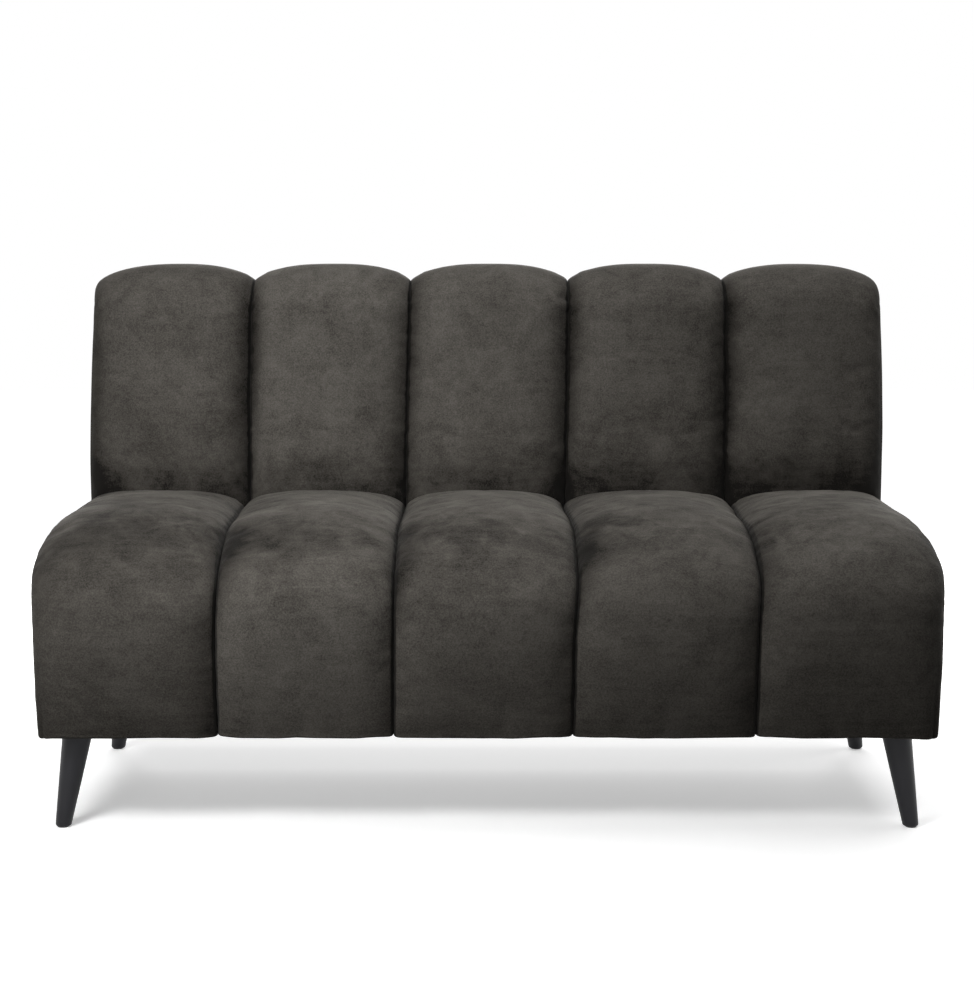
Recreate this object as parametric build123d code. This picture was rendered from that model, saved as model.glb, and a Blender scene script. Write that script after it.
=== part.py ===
from build123d import *
import os
from math import asin, cos, degrees, radians, sin, sqrt, tan

# Armless two-seat banquette: a channelled seat and back over a timber frame, on four splayed legs.
# Millimetres and degrees, +Z up. The front faces -Y. The model is drawn with Y = 0 at the foremost
# point of the seat's seams, and is moved at the end so that its origin is on the floor, at mid depth.

# Upholstery, measured on the sewn seam lines between the channels
WIDTH = 1370.0
CHANNELS = 5
SEAT_HEIGHT = 456.0
SEAT_DEPTH = 530.0
BASE_HEIGHT = 154.0
BACK_HEIGHT = 833.0
BACK_THICKNESS = 128.0
BACK_LEAN = 6.0
SEAT_CROWN = 26.0
BACK_CROWN = 27.0
CHANNEL_PAD = 26.0

# Curves of the seams and of the outer edges
FRONT_RADIUS = 755.0
NOSE_RADIUS = 79.0
NOSE_ANGLE = 65.0
SHOULDER_RADIUS = 448.0
BACK_TOP_RADIUS = 63.0
BACK_REAR_RADIUS = 34.0
END_RADIUS = 26.0

# Foam, panels and sheets
SEAT_FOAM = 88.0
FRONT_FOAM = 3.0
SIDE_PANEL = 12.0
OUTSIDE_BACK = 6.0
HESSIAN = 1.5
DUST_COVER = 1.0
SOFT_GAP = 0.3

# Webbing of the back
WEBBING = 1.5
WEBBING_WIDTH = 50.0
WEBBING_LAP = 30.0
STRAPS_PER_BAY = 2
LEVEL_STRAPS = 3

# Timber frame
RAIL = 22.0
CROSS_RAIL_HEIGHT = 60.0
CROSS_RAIL_OFFSET = 330.0
CORNER_BLOCK = 110.0
CORNER_BLOCK_HEIGHT = 45.0
POST_WIDTH = 64.0
POST_DEPTH = 40.0
INNER_POST_WIDTH = 40.0
INNER_POST_OFFSET = 205.0
TOP_RAIL = 60.0
TACK_RAIL_HEIGHT = 50.0
TACK_RAIL_DROP = 30.0
DOWEL = 10.0
DOWEL_LENGTH = 50.0
DOWEL_BITE = 14.0
DOWEL_SPACING = 30.0
DOWEL_FIT = 0.1

# Bolts that join the back to the seat
BOLT = 8.0
BOLT_FIT = 0.3
BOLT_EDGE = 30.0
BOLT_HEAD = 18.0
BOLT_HEAD_HEIGHT = 4.5
BOLT_TAIL = 3.0
WASHER = 17.0
WASHER_THICKNESS = 1.6
NUT_ACROSS_FLATS = 13.0
NUT_HEIGHT = 6.5

# Seat springs
SPRINGS = 9
SPRING_WIRE = 3.8
SPRING_WIDTH = 50.0
SPRING_PITCH = 24.0
CLIP = 1.2
CLIP_WIDTH = 18.0
CLIP_TAIL = 9.0
CLIP_FIT = 0.1
TIE_WIRES = 2
TIE_WIRE = 3.0

# Legs and what fixes them
LEG_TOP = 47.0
LEG_FOOT = 24.0
LEG_SPLAY = 8.5
LEG_SIDE_INSET = 37.0
LEG_FRONT_INSET = 27.0
LEG_REAR_INSET = 55.0
FOOT_EDGE = 3.5
PLATE = 54.0
PLATE_THICKNESS = 3.0
PLATE_SCREW = 4.0
PLATE_SCREW_LENGTH = 24.0
PLATE_SCREW_SPACING = 36.0
LEG_SCREW = 6.0
LEG_SCREW_LENGTH = 40.0
SCREW_FIT = 0.1
GLIDE = 17.0
GLIDE_THICKNESS = 1.5
GLIDE_NAIL = 2.5
GLIDE_NAIL_LENGTH = 14.0

# Longer than any piece: the reach of the solids that trim others
REACH = 2 * (WIDTH + SEAT_DEPTH + BACK_HEIGHT)

# Places that follow from the sizes above
LEAN_SIN = sin(radians(BACK_LEAN))
LEAN_COS = cos(radians(BACK_LEAN))
HALF_WIDTH = WIDTH / 2
FRAME_HALF = HALF_WIDTH - SIDE_PANEL
PITCH = WIDTH / CHANNELS
CORE = CHANNEL_PAD + SOFT_GAP
NOSE_Z = SEAT_HEIGHT - SHOULDER_RADIUS + (SHOULDER_RADIUS - NOSE_RADIUS) * sin(radians(NOSE_ANGLE))
SHOULDER_Y = NOSE_RADIUS + (SHOULDER_RADIUS - NOSE_RADIUS) * cos(radians(NOSE_ANGLE))
FRONT_Y = FRONT_RADIUS - sqrt((FRONT_RADIUS - CORE) ** 2 - (NOSE_Z - BASE_HEIGHT) ** 2) + FRONT_FOAM
BACK_ARC_U = (BACK_HEIGHT - SEAT_HEIGHT - BACK_TOP_RADIUS * (1 - LEAN_SIN)) / LEAN_COS
BACK_TOP_U = BACK_ARC_U + BACK_TOP_RADIUS
POST_REAR = BACK_THICKNESS - OUTSIDE_BACK
POST_FRONT = POST_REAR - POST_DEPTH
RAIL_FRONT = POST_FRONT - RAIL
TOP_RAIL_U = BACK_TOP_U - CORE - TOP_RAIL
TACK_RAIL_LOW = -TACK_RAIL_DROP - TACK_RAIL_HEIGHT
CLIP_HALF = SPRING_WIRE / 2 + CLIP_FIT + CLIP
DECK_Z = SEAT_HEIGHT - CORE - SEAT_FOAM
WIRE_Z = DECK_Z - HESSIAN - CLIP_HALF
RAIL_TOP = WIRE_Z - CLIP_HALF
PLATE_Z = BASE_HEIGHT - DUST_COVER
LEG_TOP_Z = PLATE_Z - PLATE_THICKNESS
INNER_POST_EDGE = INNER_POST_OFFSET + INNER_POST_WIDTH

# Drawing plane of the seat's side profile, as (Y, Z), and of the back's, as (depth behind the seams,
# height along the lean). Both have their normal along +X.
SEAT_PROFILE = Plane.YZ
BACK_PROFILE = Plane(
    origin=(0, SEAT_DEPTH, SEAT_HEIGHT), x_dir=(0, LEAN_COS, -LEAN_SIN), z_dir=(1, 0, 0)
)


def back_u(depth, z):
    """Height along the lean of the point at this depth and height above the floor."""
    return (z - SEAT_HEIGHT + depth * LEAN_SIN) / LEAN_COS


def back_y(depth, z):
    """Y of the back's plane at this depth and height above the floor."""
    return SEAT_DEPTH + back_u(depth, z) * LEAN_SIN + depth * LEAN_COS


def block(x0, x1, y0, y1, z0, z1):
    """Box between two corners."""
    middle = Pos((x0 + x1) / 2, (y0 + y1) / 2, (z0 + z1) / 2)
    return middle * Box(x1 - x0, y1 - y0, z1 - z0)


def back_block(x0, x1, depth0, depth1, u0, u1):
    """Box that leans with the back."""
    return BACK_PROFILE.location * block(depth0, depth1, u0, u1, x0, x1)


def across(profile, face, x0, x1):
    """Solid of one side profile from x0 to x1."""
    return Pos(x0, 0, 0) * extrude(profile * face, x1 - x0, dir=(1, 0, 0))


def below(z):
    """Everything under a level."""
    return block(-REACH, REACH, -REACH, REACH, z - REACH, z)


def behind(depth):
    """Everything behind a plane of the back."""
    return back_block(-REACH, REACH, depth, depth + REACH, -REACH, REACH)


def mirrored(shape):
    """The same piece on the other side."""
    return mirror(shape, about=Plane.YZ)


# Channels of the seat and the back


def channel_edges(index):
    """Left and right seam of a channel."""
    left = -HALF_WIDTH + index * PITCH
    return left, left + PITCH


def channel_face(left, right, crown, depth, lift=0.0):
    """Section of a channel: flat below, an arc above. Its y points into the upholstery."""
    middle = (left + right) / 2
    outline = [
        Line((left, depth), (right, depth)),
        Line((right, depth), (right, -lift)),
        ThreePointArc((right, -lift), (middle, -crown - lift), (left, -lift)),
        Line((left, -lift), (left, depth)),
    ]
    return make_face(outline)


def channel_section(index, crown):
    """Section of one channel, with the outer edge of the end channels rounded."""
    left, right = channel_edges(index)
    first = index == 0
    last = index == CHANNELS - 1
    inner_left = left if first else left + SOFT_GAP / 2
    inner_right = right if last else right - SOFT_GAP / 2
    section = channel_face(inner_left, inner_right, crown, CHANNEL_PAD)
    radius = min(END_RADIUS, CHANNEL_PAD)
    if first:
        section = fillet(section.vertices().group_by(Axis.X)[0].sort_by(Axis.Y)[0], radius)
    if last:
        section = fillet(section.vertices().group_by(Axis.X)[-1].sort_by(Axis.Y)[0], radius)
    return section


def swept(section, path):
    """The section carried along a path in a plane across X."""
    start = Plane(origin=path @ 0, x_dir=(1, 0, 0), z_dir=path % 0)
    return sweep(start * section, path=path)


def seat_curve(offset):
    """Seat profile at a distance outside the seams, from under the front edge to inside the back."""
    front_drop = degrees(asin((NOSE_Z - BASE_HEIGHT + CHANNEL_PAD) / (FRONT_RADIUS - CORE)))
    shoulder_z = SEAT_HEIGHT - SHOULDER_RADIUS
    top = SEAT_HEIGHT + offset
    return [
        CenterArc((FRONT_RADIUS, NOSE_Z), FRONT_RADIUS + offset, 180 + front_drop, -front_drop),
        CenterArc((NOSE_RADIUS, NOSE_Z), NOSE_RADIUS + offset, 180, -NOSE_ANGLE),
        CenterArc((SHOULDER_Y, shoulder_z), SHOULDER_RADIUS + offset, 180 - NOSE_ANGLE, NOSE_ANGLE - 90),
        Line((SHOULDER_Y, top), (SEAT_DEPTH + POST_FRONT, top)),
    ]


def seat_channel(index):
    """One seat channel: up the front, over the front edge and back to the channel behind it."""
    path = Wire([SEAT_PROFILE * edge for edge in seat_curve(0)])
    pad = swept(channel_section(index, SEAT_CROWN), path)
    left, right = channel_edges(index)
    level = Plane(origin=BACK_PROFILE.origin, x_dir=(1, 0, 0), z_dir=BACK_PROFILE.y_dir)
    back_front = channel_face(left - SOFT_GAP, right + SOFT_GAP, BACK_CROWN, POST_REAR, SOFT_GAP)
    return pad - below(BASE_HEIGHT) - extrude(level * back_front, BACK_HEIGHT, both=True)


def back_channel(index):
    """One back channel: up the front of the back and over its top to the rear edge."""
    low_u = back_u(-BACK_CROWN, SEAT_HEIGHT - CHANNEL_PAD) - CHANNEL_PAD
    rise = Line((0, low_u), (0, BACK_ARC_U))
    edge = CenterArc((BACK_TOP_RADIUS, BACK_ARC_U), BACK_TOP_RADIUS, 180, -90)
    top = Line((BACK_TOP_RADIUS, BACK_TOP_U), (BACK_THICKNESS + BACK_REAR_RADIUS, BACK_TOP_U))
    path = Wire([BACK_PROFILE * piece for piece in (rise, edge, top)])
    pad = swept(channel_section(index, BACK_CROWN), path)
    reach_u = BACK_TOP_U + BACK_CROWN - low_u
    outline = Pos(BACK_THICKNESS / 2, low_u + reach_u / 2) * Rectangle(BACK_THICKNESS + 4 * BACK_CROWN, reach_u)
    outline = Pos(-2 * BACK_CROWN, 0) * outline
    rear_top = outline.vertices().group_by(Axis.X)[-1].sort_by(Axis.Y)[-1]
    outline = fillet(rear_top, min(BACK_REAR_RADIUS, BACK_CROWN + CHANNEL_PAD))
    pad = pad & across(BACK_PROFILE, outline, -HALF_WIDTH, HALF_WIDTH)
    return pad - below(SEAT_HEIGHT - CHANNEL_PAD)


# Foam and the upright panels, all drawn under the channels


def seat_core(x0, x1):
    """What lies under the seat channels, down to the underside and back to the back's foam."""
    curve = seat_curve(-CORE)
    first = curve[0] @ 0
    last = curve[-1] @ 1
    outline = curve + [
        Line((last.X, last.Y), (last.X, first.Y)),
        Line((last.X, first.Y), (first.X, first.Y)),
    ]
    solid = across(SEAT_PROFILE, make_face(outline), x0, x1)
    return solid - below(BASE_HEIGHT) - behind(CORE)


def back_core(x0, x1, depth, low_u):
    """What lies under the back channels, from their inner face to a depth."""
    radius = BACK_TOP_RADIUS - CORE
    top = BACK_ARC_U + radius
    outline = [
        Line((CORE, low_u), (CORE, BACK_ARC_U)),
        CenterArc((BACK_TOP_RADIUS, BACK_ARC_U), radius, 180, -90),
        Line((BACK_TOP_RADIUS, top), (depth, top)),
        Line((depth, top), (depth, low_u)),
        Line((depth, low_u), (CORE, low_u)),
    ]
    return across(BACK_PROFILE, make_face(outline), x0, x1)


def seat_foam():
    """Seat slab with its rounded front edge."""
    return seat_core(-FRAME_HALF, FRAME_HALF) - below(DECK_Z)


def seat_front_foam():
    """Foam between the channels and the front rail."""
    front = block(-REACH, REACH, -REACH, FRONT_Y, -REACH, DECK_Z)
    return seat_core(-FRAME_HALF, FRAME_HALF) & front


def back_foam():
    """Back slab."""
    rear = POST_FRONT - 2 * WEBBING - HESSIAN
    return back_core(-FRAME_HALF, FRAME_HALF, rear, TACK_RAIL_LOW)


def seat_side_panel():
    """Padded cover over the right side of the seat."""
    return seat_core(FRAME_HALF, HALF_WIDTH)


def back_side_panel():
    """Padded cover over the right side of the back, down to the underside."""
    low_u = back_u(CORE, BASE_HEIGHT) - CORE
    return back_core(FRAME_HALF, HALF_WIDTH, POST_REAR, low_u) - below(BASE_HEIGHT)


def outside_back_panel():
    """Flat cover over the rear."""
    low_u = back_u(BACK_THICKNESS, BASE_HEIGHT) - OUTSIDE_BACK
    panel = back_block(-HALF_WIDTH, HALF_WIDTH, POST_REAR, BACK_THICKNESS, low_u, BACK_TOP_U - CORE)
    return panel - below(BASE_HEIGHT)


# Timber frame


def dowel(base):
    """Dowel from a face into end grain. The base plane lies on the face, its normal into the end grain."""
    return base.location * (Pos(0, 0, DOWEL_LENGTH / 2 - DOWEL_BITE) * Cylinder(DOWEL / 2, DOWEL_LENGTH))


def drilled(shape, bases):
    """The piece with a hole for each dowel."""
    bore = Cylinder(DOWEL / 2 + DOWEL_FIT, DOWEL_LENGTH + 2 * DOWEL_FIT)
    for base in bases:
        shape -= base.location * (Pos(0, 0, DOWEL_LENGTH / 2 - DOWEL_BITE) * bore)
    return shape


def rail_levels(low, high, count):
    """Even levels between two heights."""
    step = (high - low) / (count + 1)
    return [low + step * (i + 1) for i in range(count)]


def rail_dowel_bases():
    """Dowels of the side and cross rails, in the front rail and in the rear rail."""
    side = FRAME_HALF - RAIL / 2
    side_levels = rail_levels(BASE_HEIGHT, RAIL_TOP, 3)
    cross_levels = rail_levels(BASE_HEIGHT, BASE_HEIGHT + CROSS_RAIL_HEIGHT, 2)
    rows = [(sign * side, side_levels) for sign in (-1, 1)]
    rows += [(sign * CROSS_RAIL_OFFSET, cross_levels) for sign in (-1, 1)]
    bases = []
    for x, levels in rows:
        for z in levels:
            bases.append(Plane((x, FRONT_Y + RAIL, z), z_dir=(0, 1, 0)))
            bases.append(Plane((x, back_y(RAIL_FRONT, z), z), z_dir=(0, -LEAN_COS, LEAN_SIN)))
    return bases


def tack_rail_spans():
    """Clear spans between neighbouring posts."""
    outer = FRAME_HALF - POST_WIDTH
    inner = INNER_POST_OFFSET
    edge = INNER_POST_EDGE
    return [(-outer, -edge), (-inner, inner), (edge, outer)]


def post_spans():
    """Left and right face of each post, by name."""
    outer = FRAME_HALF - POST_WIDTH
    return {
        "back_left_post": (-FRAME_HALF, -outer),
        "back_left_inner_post": (-INNER_POST_EDGE, -INNER_POST_OFFSET),
        "back_right_inner_post": (INNER_POST_OFFSET, INNER_POST_EDGE),
        "back_right_post": (outer, FRAME_HALF),
    }


def back_plane(x, depth, u, z_dir):
    """Plane at a point of the back's profile."""
    point = BACK_PROFILE.from_local_coords((depth, u, x))
    return Plane(point, z_dir=z_dir)


def back_dowel_bases():
    """Dowels of the top rail on the posts, and of the tack rails between the posts."""
    down = (0, -LEAN_SIN, -LEAN_COS)
    depth = POST_FRONT + POST_DEPTH / 2
    bases = [
        back_plane((left + right) / 2, depth, TOP_RAIL_U, down) for left, right in post_spans().values()
    ]
    depth = POST_FRONT + RAIL / 2
    middle = -TACK_RAIL_DROP - TACK_RAIL_HEIGHT / 2
    for left, right in tack_rail_spans():
        for step in (-DOWEL_SPACING / 2, DOWEL_SPACING / 2):
            bases.append(back_plane(left, depth, middle + step, (1, 0, 0)))
            bases.append(back_plane(right, depth, middle + step, (-1, 0, 0)))
    return bases


def seat_front_rail():
    """Deep board under the front edge."""
    rail = block(-FRAME_HALF, FRAME_HALF, FRONT_Y, FRONT_Y + RAIL, BASE_HEIGHT, RAIL_TOP)
    return drilled(rail, rail_dowel_bases()) - plate_screw_holes()


def seat_rear_rail():
    """Board that leans with the back and carries its posts."""
    low_u = back_u(RAIL_FRONT, BASE_HEIGHT) - RAIL
    rail = back_block(-FRAME_HALF, FRAME_HALF, RAIL_FRONT, POST_FRONT, low_u, SEAT_HEIGHT)
    rail = rail - below(BASE_HEIGHT) - block(-REACH, REACH, -REACH, REACH, RAIL_TOP, REACH)
    return drilled(rail, rail_dowel_bases()) - bolt_holes() - plate_screw_holes()


def seat_side_rail():
    """Right side board, between the front and rear rails."""
    rail = block(FRAME_HALF - RAIL, FRAME_HALF, FRONT_Y + RAIL, REACH, BASE_HEIGHT, RAIL_TOP)
    return drilled(rail - behind(RAIL_FRONT), rail_dowel_bases()) - plate_screw_holes()


def seat_cross_rail():
    """Right low stretcher, between the front and rear rails."""
    left = CROSS_RAIL_OFFSET - RAIL / 2
    top = BASE_HEIGHT + CROSS_RAIL_HEIGHT
    rail = block(left, left + RAIL, FRONT_Y + RAIL, REACH, BASE_HEIGHT, top)
    return drilled(rail - behind(RAIL_FRONT), rail_dowel_bases())


def corner_blocks():
    """Four triangular blocks that brace the corners and take the leg screws."""
    x = FRAME_HALF - RAIL
    front = FRONT_Y + RAIL
    rear = back_y(RAIL_FRONT, BASE_HEIGHT)
    top = BASE_HEIGHT + CORNER_BLOCK_HEIGHT
    deep = rear + CORNER_BLOCK
    triangles = [
        Polyline((x, front), (x - CORNER_BLOCK, front), (x, front + CORNER_BLOCK), close=True),
        Polyline(
            (x, rear - CORNER_BLOCK), (x - CORNER_BLOCK, rear), (x - CORNER_BLOCK, deep), (x, deep), close=True
        ),
    ]
    pieces = []
    for triangle in triangles:
        prism = Pos(0, 0, BASE_HEIGHT) * extrude(make_face(triangle), top - BASE_HEIGHT, dir=(0, 0, 1))
        piece = prism - behind(RAIL_FRONT) - plate_screw_holes()
        pieces += [piece, mirrored(piece)]
    return pieces


def back_post(left, right):
    """Upright of the back, from the underside to the top rail."""
    low_u = back_u(POST_REAR, BASE_HEIGHT) - POST_DEPTH
    post = back_block(left, right, POST_FRONT, POST_REAR, low_u, TOP_RAIL_U) - below(BASE_HEIGHT)
    return drilled(post, back_dowel_bases()) - bolt_holes() - plate_screw_holes()


def back_top_rail():
    """Rail on top of the posts."""
    rail = back_block(-FRAME_HALF, FRAME_HALF, POST_FRONT, POST_REAR, TOP_RAIL_U, BACK_TOP_U - CORE)
    return drilled(rail, back_dowel_bases())


def back_tack_rails():
    """Rails between the posts, to which the foot of the back's webbing is tacked."""
    rails = []
    for left, right in tack_rail_spans():
        rail = back_block(left, right, POST_FRONT, POST_FRONT + RAIL, TACK_RAIL_LOW, -TACK_RAIL_DROP)
        rails.append(drilled(rail, back_dowel_bases()))
    return rails


# Bolts through the posts and the rear rail


def bolt_planes():
    """Seat of each bolt head, sunk in the rear of a post, with the normal towards the front."""
    side = FRAME_HALF - (POST_WIDTH + RAIL) / 2
    inner = INNER_POST_OFFSET + INNER_POST_WIDTH / 2
    levels = (BASE_HEIGHT + CORNER_BLOCK_HEIGHT + BOLT_EDGE, RAIL_TOP - BOLT_EDGE)
    forwards = (0, -LEAN_COS, LEAN_SIN)
    seat = POST_REAR - BOLT_HEAD_HEIGHT
    return [
        back_plane(x, seat, back_u(POST_FRONT, z), forwards)
        for x in (-side, -inner, inner, side)
        for z in levels
    ]


def bolt_grip():
    """Timber between the bolt's head and its washer."""
    return POST_DEPTH - BOLT_HEAD_HEIGHT + RAIL


def upright_cylinder(radius, low, high):
    """Cylinder along Z between two levels."""
    return Pos(0, 0, (low + high) / 2) * Cylinder(radius, high - low)


def bolt_holes():
    """Every bolt's hole, with the recess for its head."""
    bore = upright_cylinder(BOLT / 2 + BOLT_FIT, 0, bolt_grip())
    recess = upright_cylinder(BOLT_HEAD / 2 + BOLT_FIT, -BOLT_HEAD_HEIGHT, 0)
    return Part() + [plane.location * piece for plane in bolt_planes() for piece in (bore, recess)]


def back_bolts():
    """Carriage bolts."""
    length = bolt_grip() + WASHER_THICKNESS + NUT_HEIGHT + BOLT_TAIL
    bolt = upright_cylinder(BOLT / 2, 0, length) + upright_cylinder(BOLT_HEAD / 2, -BOLT_HEAD_HEIGHT, 0)
    return [plane.location * bolt for plane in bolt_planes()]


def back_washers():
    """A washer in front of the rear rail on each bolt."""
    low = bolt_grip()
    high = low + WASHER_THICKNESS
    washer = upright_cylinder(WASHER / 2, low, high) - upright_cylinder(BOLT / 2 + SCREW_FIT, low, high)
    return [plane.location * washer for plane in bolt_planes()]


def back_nuts():
    """A hexagon nut on each bolt."""
    low = bolt_grip() + WASHER_THICKNESS
    hexagon = RegularPolygon(NUT_ACROSS_FLATS / 2, 6, major_radius=False)
    nut = Pos(0, 0, low) * extrude(hexagon, NUT_HEIGHT)
    nut -= upright_cylinder(BOLT / 2 + SCREW_FIT, low, low + NUT_HEIGHT)
    return [plane.location * nut for plane in bolt_planes()]


# Springs of the seat and webbing of the back


def spring_ends():
    """Y of a spring's first and last bar, over the middle of the front and rear rails."""
    return FRONT_Y + RAIL / 2, back_y(POST_FRONT - RAIL / 2, RAIL_TOP)


def spring_places():
    """X of each spring, evenly spaced between the side rails."""
    step = 2 * (FRAME_HALF - RAIL) / SPRINGS
    return [step * (i - (SPRINGS - 1) / 2) for i in range(SPRINGS)]


def seat_spring():
    """Sinuous spring: level bars joined by half turns, alternately right and left."""
    front, rear = spring_ends()
    bars = round((rear - front) / SPRING_PITCH)
    pitch = (rear - front) / bars
    turn = pitch / 2
    reach = SPRING_WIDTH / 2 - turn
    edges = []
    side = 1
    for i in range(bars):
        y = front + i * pitch
        edges.append(Line((-side * reach, y), (side * reach, y)))
        tip = (side * (reach + turn), y + turn)
        edges.append(RadiusArc((side * reach, y), tip, -side * turn))
        edges.append(RadiusArc(tip, (side * reach, y + pitch), -side * turn))
        side = -side
    edges.append(Line((-side * reach, rear), (side * reach, rear)))
    path = Pos(0, 0, WIRE_Z) * Wire(edges)
    start = Plane(path @ 0, z_dir=path % 0)
    return sweep(start * Circle(SPRING_WIRE / 2), path=path)


def seat_springs():
    """The row of springs."""
    spring = seat_spring()
    return [Pos(x, 0, 0) * spring for x in spring_places()]


def spring_clip():
    """Bent strip round a spring's end bar: flat on the rail, closed towards +Y."""
    inner = SPRING_WIRE / 2 + CLIP_FIT
    bend = Circle(CLIP_HALF) - Circle(inner)
    bend &= Pos(CLIP_HALF, 0) * Rectangle(2 * CLIP_HALF, 2 * CLIP_HALF)
    strip = Pos(-CLIP_TAIL / 2, -inner - CLIP / 2) * Rectangle(CLIP_TAIL, CLIP)
    flap = Pos(-CLIP_TAIL / 4, inner + CLIP / 2) * Rectangle(CLIP_TAIL / 2, CLIP)
    return across(SEAT_PROFILE, bend + strip + flap, -CLIP_WIDTH / 2, CLIP_WIDTH / 2)


def spring_clips():
    """A clip at both ends of each spring."""
    front, rear = spring_ends()
    clip = spring_clip()
    turned = mirror(clip, about=Plane.XZ)
    clips = []
    for x in spring_places():
        clips.append(Pos(x, front, WIRE_Z) * clip)
        clips.append(Pos(x, rear, WIRE_Z) * turned)
    return clips


def spring_tie_wires():
    """Wires under the springs, from side rail to side rail."""
    front, rear = spring_ends()
    z = WIRE_Z - SPRING_WIRE / 2 - CLIP_FIT - TIE_WIRE / 2
    wire = Rot(0, 90, 0) * Cylinder(TIE_WIRE / 2, 2 * (FRAME_HALF - RAIL))
    step = (rear - front) / (TIE_WIRES + 1)
    return [Pos(0, front + step * (i + 1), z) * wire for i in range(TIE_WIRES)]


def seat_hessian():
    """Cloth over the springs, under the seat foam."""
    return block(-FRAME_HALF, FRAME_HALF, FRONT_Y, REACH, DECK_Z - HESSIAN, DECK_Z) - behind(POST_FRONT)


def back_upright_straps():
    """Webbing from the tack rails to the top rail, in front of the level straps."""
    front = POST_FRONT - 2 * WEBBING
    straps = []
    for left, right in tack_rail_spans():
        for x in rail_levels(left, right, STRAPS_PER_BAY):
            edges = (x - WEBBING_WIDTH / 2, x + WEBBING_WIDTH / 2)
            low = TACK_RAIL_LOW + TACK_RAIL_HEIGHT - WEBBING_LAP
            straps.append(back_block(*edges, front, front + WEBBING, low, TOP_RAIL_U + WEBBING_LAP))
    return straps


def back_level_straps():
    """Webbing from post to post, on the front of the posts."""
    straps = []
    for u in rail_levels(-TACK_RAIL_DROP, TOP_RAIL_U, LEVEL_STRAPS):
        low = u - WEBBING_WIDTH / 2
        high = u + WEBBING_WIDTH / 2
        straps.append(back_block(-FRAME_HALF, FRAME_HALF, POST_FRONT - WEBBING, POST_FRONT, low, high))
    return straps


def back_hessian():
    """Cloth over the back's webbing, behind the back foam."""
    rear = POST_FRONT - 2 * WEBBING
    return back_block(-FRAME_HALF, FRAME_HALF, rear - HESSIAN, rear, TACK_RAIL_LOW, BACK_TOP_U - CORE)


# Legs and what fixes them


def leg_tops():
    """Middle of each leg's top, with the directions in which it splays."""
    x = FRAME_HALF - LEG_SIDE_INSET
    front = FRONT_Y + LEG_FRONT_INSET
    rear = back_y(POST_REAR, BASE_HEIGHT) - LEG_REAR_INSET
    return {
        "front_left_leg": (-x, front, -1, -1),
        "front_right_leg": (x, front, 1, -1),
        "rear_left_leg": (-x, rear, -1, 1),
        "rear_right_leg": (x, rear, 1, 1),
    }


def leg_foot(x, y, side, way):
    """Middle of a leg's foot on the floor."""
    reach = LEG_TOP_Z * tan(radians(LEG_SPLAY))
    return x + side * reach, y + way * reach


def screw(diameter, length, grow=0.0):
    """Countersunk screw along +Z, its head flush with Z = 0."""
    radius = diameter / 2 + grow
    head = diameter / 2
    cone = Pos(0, 0, head / 2) * Cone(2 * head + grow, radius, head)
    shank = upright_cylinder(radius, head, length + grow)
    return cone + shank


def plate_screw_planes():
    """Head of each plate screw on the underside of its plate, with the normal upwards."""
    half = PLATE_SCREW_SPACING / 2
    return [
        Plane((x + i * half, y + j * half, LEG_TOP_Z), z_dir=(0, 0, 1))
        for x, y, side, way in leg_tops().values()
        for i in (-1, 1)
        for j in (-1, 1)
    ]


def leg_screw_planes():
    """Head of each centre screw on the top of its plate, with the normal downwards."""
    return [Plane((x, y, PLATE_Z), z_dir=(0, 0, -1)) for x, y, side, way in leg_tops().values()]


def plate_screw_holes():
    """The holes of every plate screw."""
    hole = screw(PLATE_SCREW, PLATE_SCREW_LENGTH, SCREW_FIT)
    return Part() + [plane.location * hole for plane in plate_screw_planes()]


def leg_screw_holes():
    """The holes of every centre screw."""
    hole = screw(LEG_SCREW, LEG_SCREW_LENGTH, SCREW_FIT)
    return Part() + [plane.location * hole for plane in leg_screw_planes()]


def glide():
    """Nail-on glide: a disc with its nail upwards."""
    disc = upright_cylinder(GLIDE / 2, 0, GLIDE_THICKNESS)
    nail = upright_cylinder(GLIDE_NAIL / 2, GLIDE_THICKNESS, GLIDE_THICKNESS + GLIDE_NAIL_LENGTH)
    return disc + nail


def leg(x, y, side, way):
    """Tapered round leg along its splay, cut level at the plate and at the glide."""
    foot_x, foot_y = leg_foot(x, y, side, way)
    foot = Vector(foot_x, foot_y, 0)
    axis = Vector(x, y, LEG_TOP_Z) - foot
    taper = (LEG_TOP - LEG_FOOT) / axis.length
    spare = LEG_TOP
    base = Plane(foot - axis.normalized() * spare, z_dir=axis)
    low = (LEG_FOOT - taper * spare) / 2
    high = (LEG_TOP + taper * spare) / 2
    cone = base.location * (Pos(0, 0, axis.length / 2 + spare) * Cone(low, high, axis.length + 2 * spare))
    body = cone & block(-REACH, REACH, -REACH, REACH, GLIDE_THICKNESS, LEG_TOP_Z)
    body = fillet(body.edges().group_by(Axis.Z)[0], FOOT_EDGE)
    nail_top = GLIDE_THICKNESS + GLIDE_NAIL_LENGTH + SCREW_FIT
    nail_hole = upright_cylinder(GLIDE_NAIL / 2 + SCREW_FIT, 0, nail_top)
    return body - Pos(foot_x, foot_y, 0) * nail_hole - leg_screw_holes()


def leg_glides():
    """A glide under each foot."""
    return [Pos(*leg_foot(*top), 0) * glide() for top in leg_tops().values()]


def leg_plates():
    """A steel plate on top of each leg."""
    plates = []
    for x, y, side, way in leg_tops().values():
        half = PLATE / 2
        plate = block(x - half, x + half, y - half, y + half, LEG_TOP_Z, PLATE_Z)
        plates.append(plate - plate_screw_holes() - leg_screw_holes())
    return plates


def leg_plate_screws():
    """Screws up through the plates into the frame."""
    return [plane.location * screw(PLATE_SCREW, PLATE_SCREW_LENGTH) for plane in plate_screw_planes()]


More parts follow.
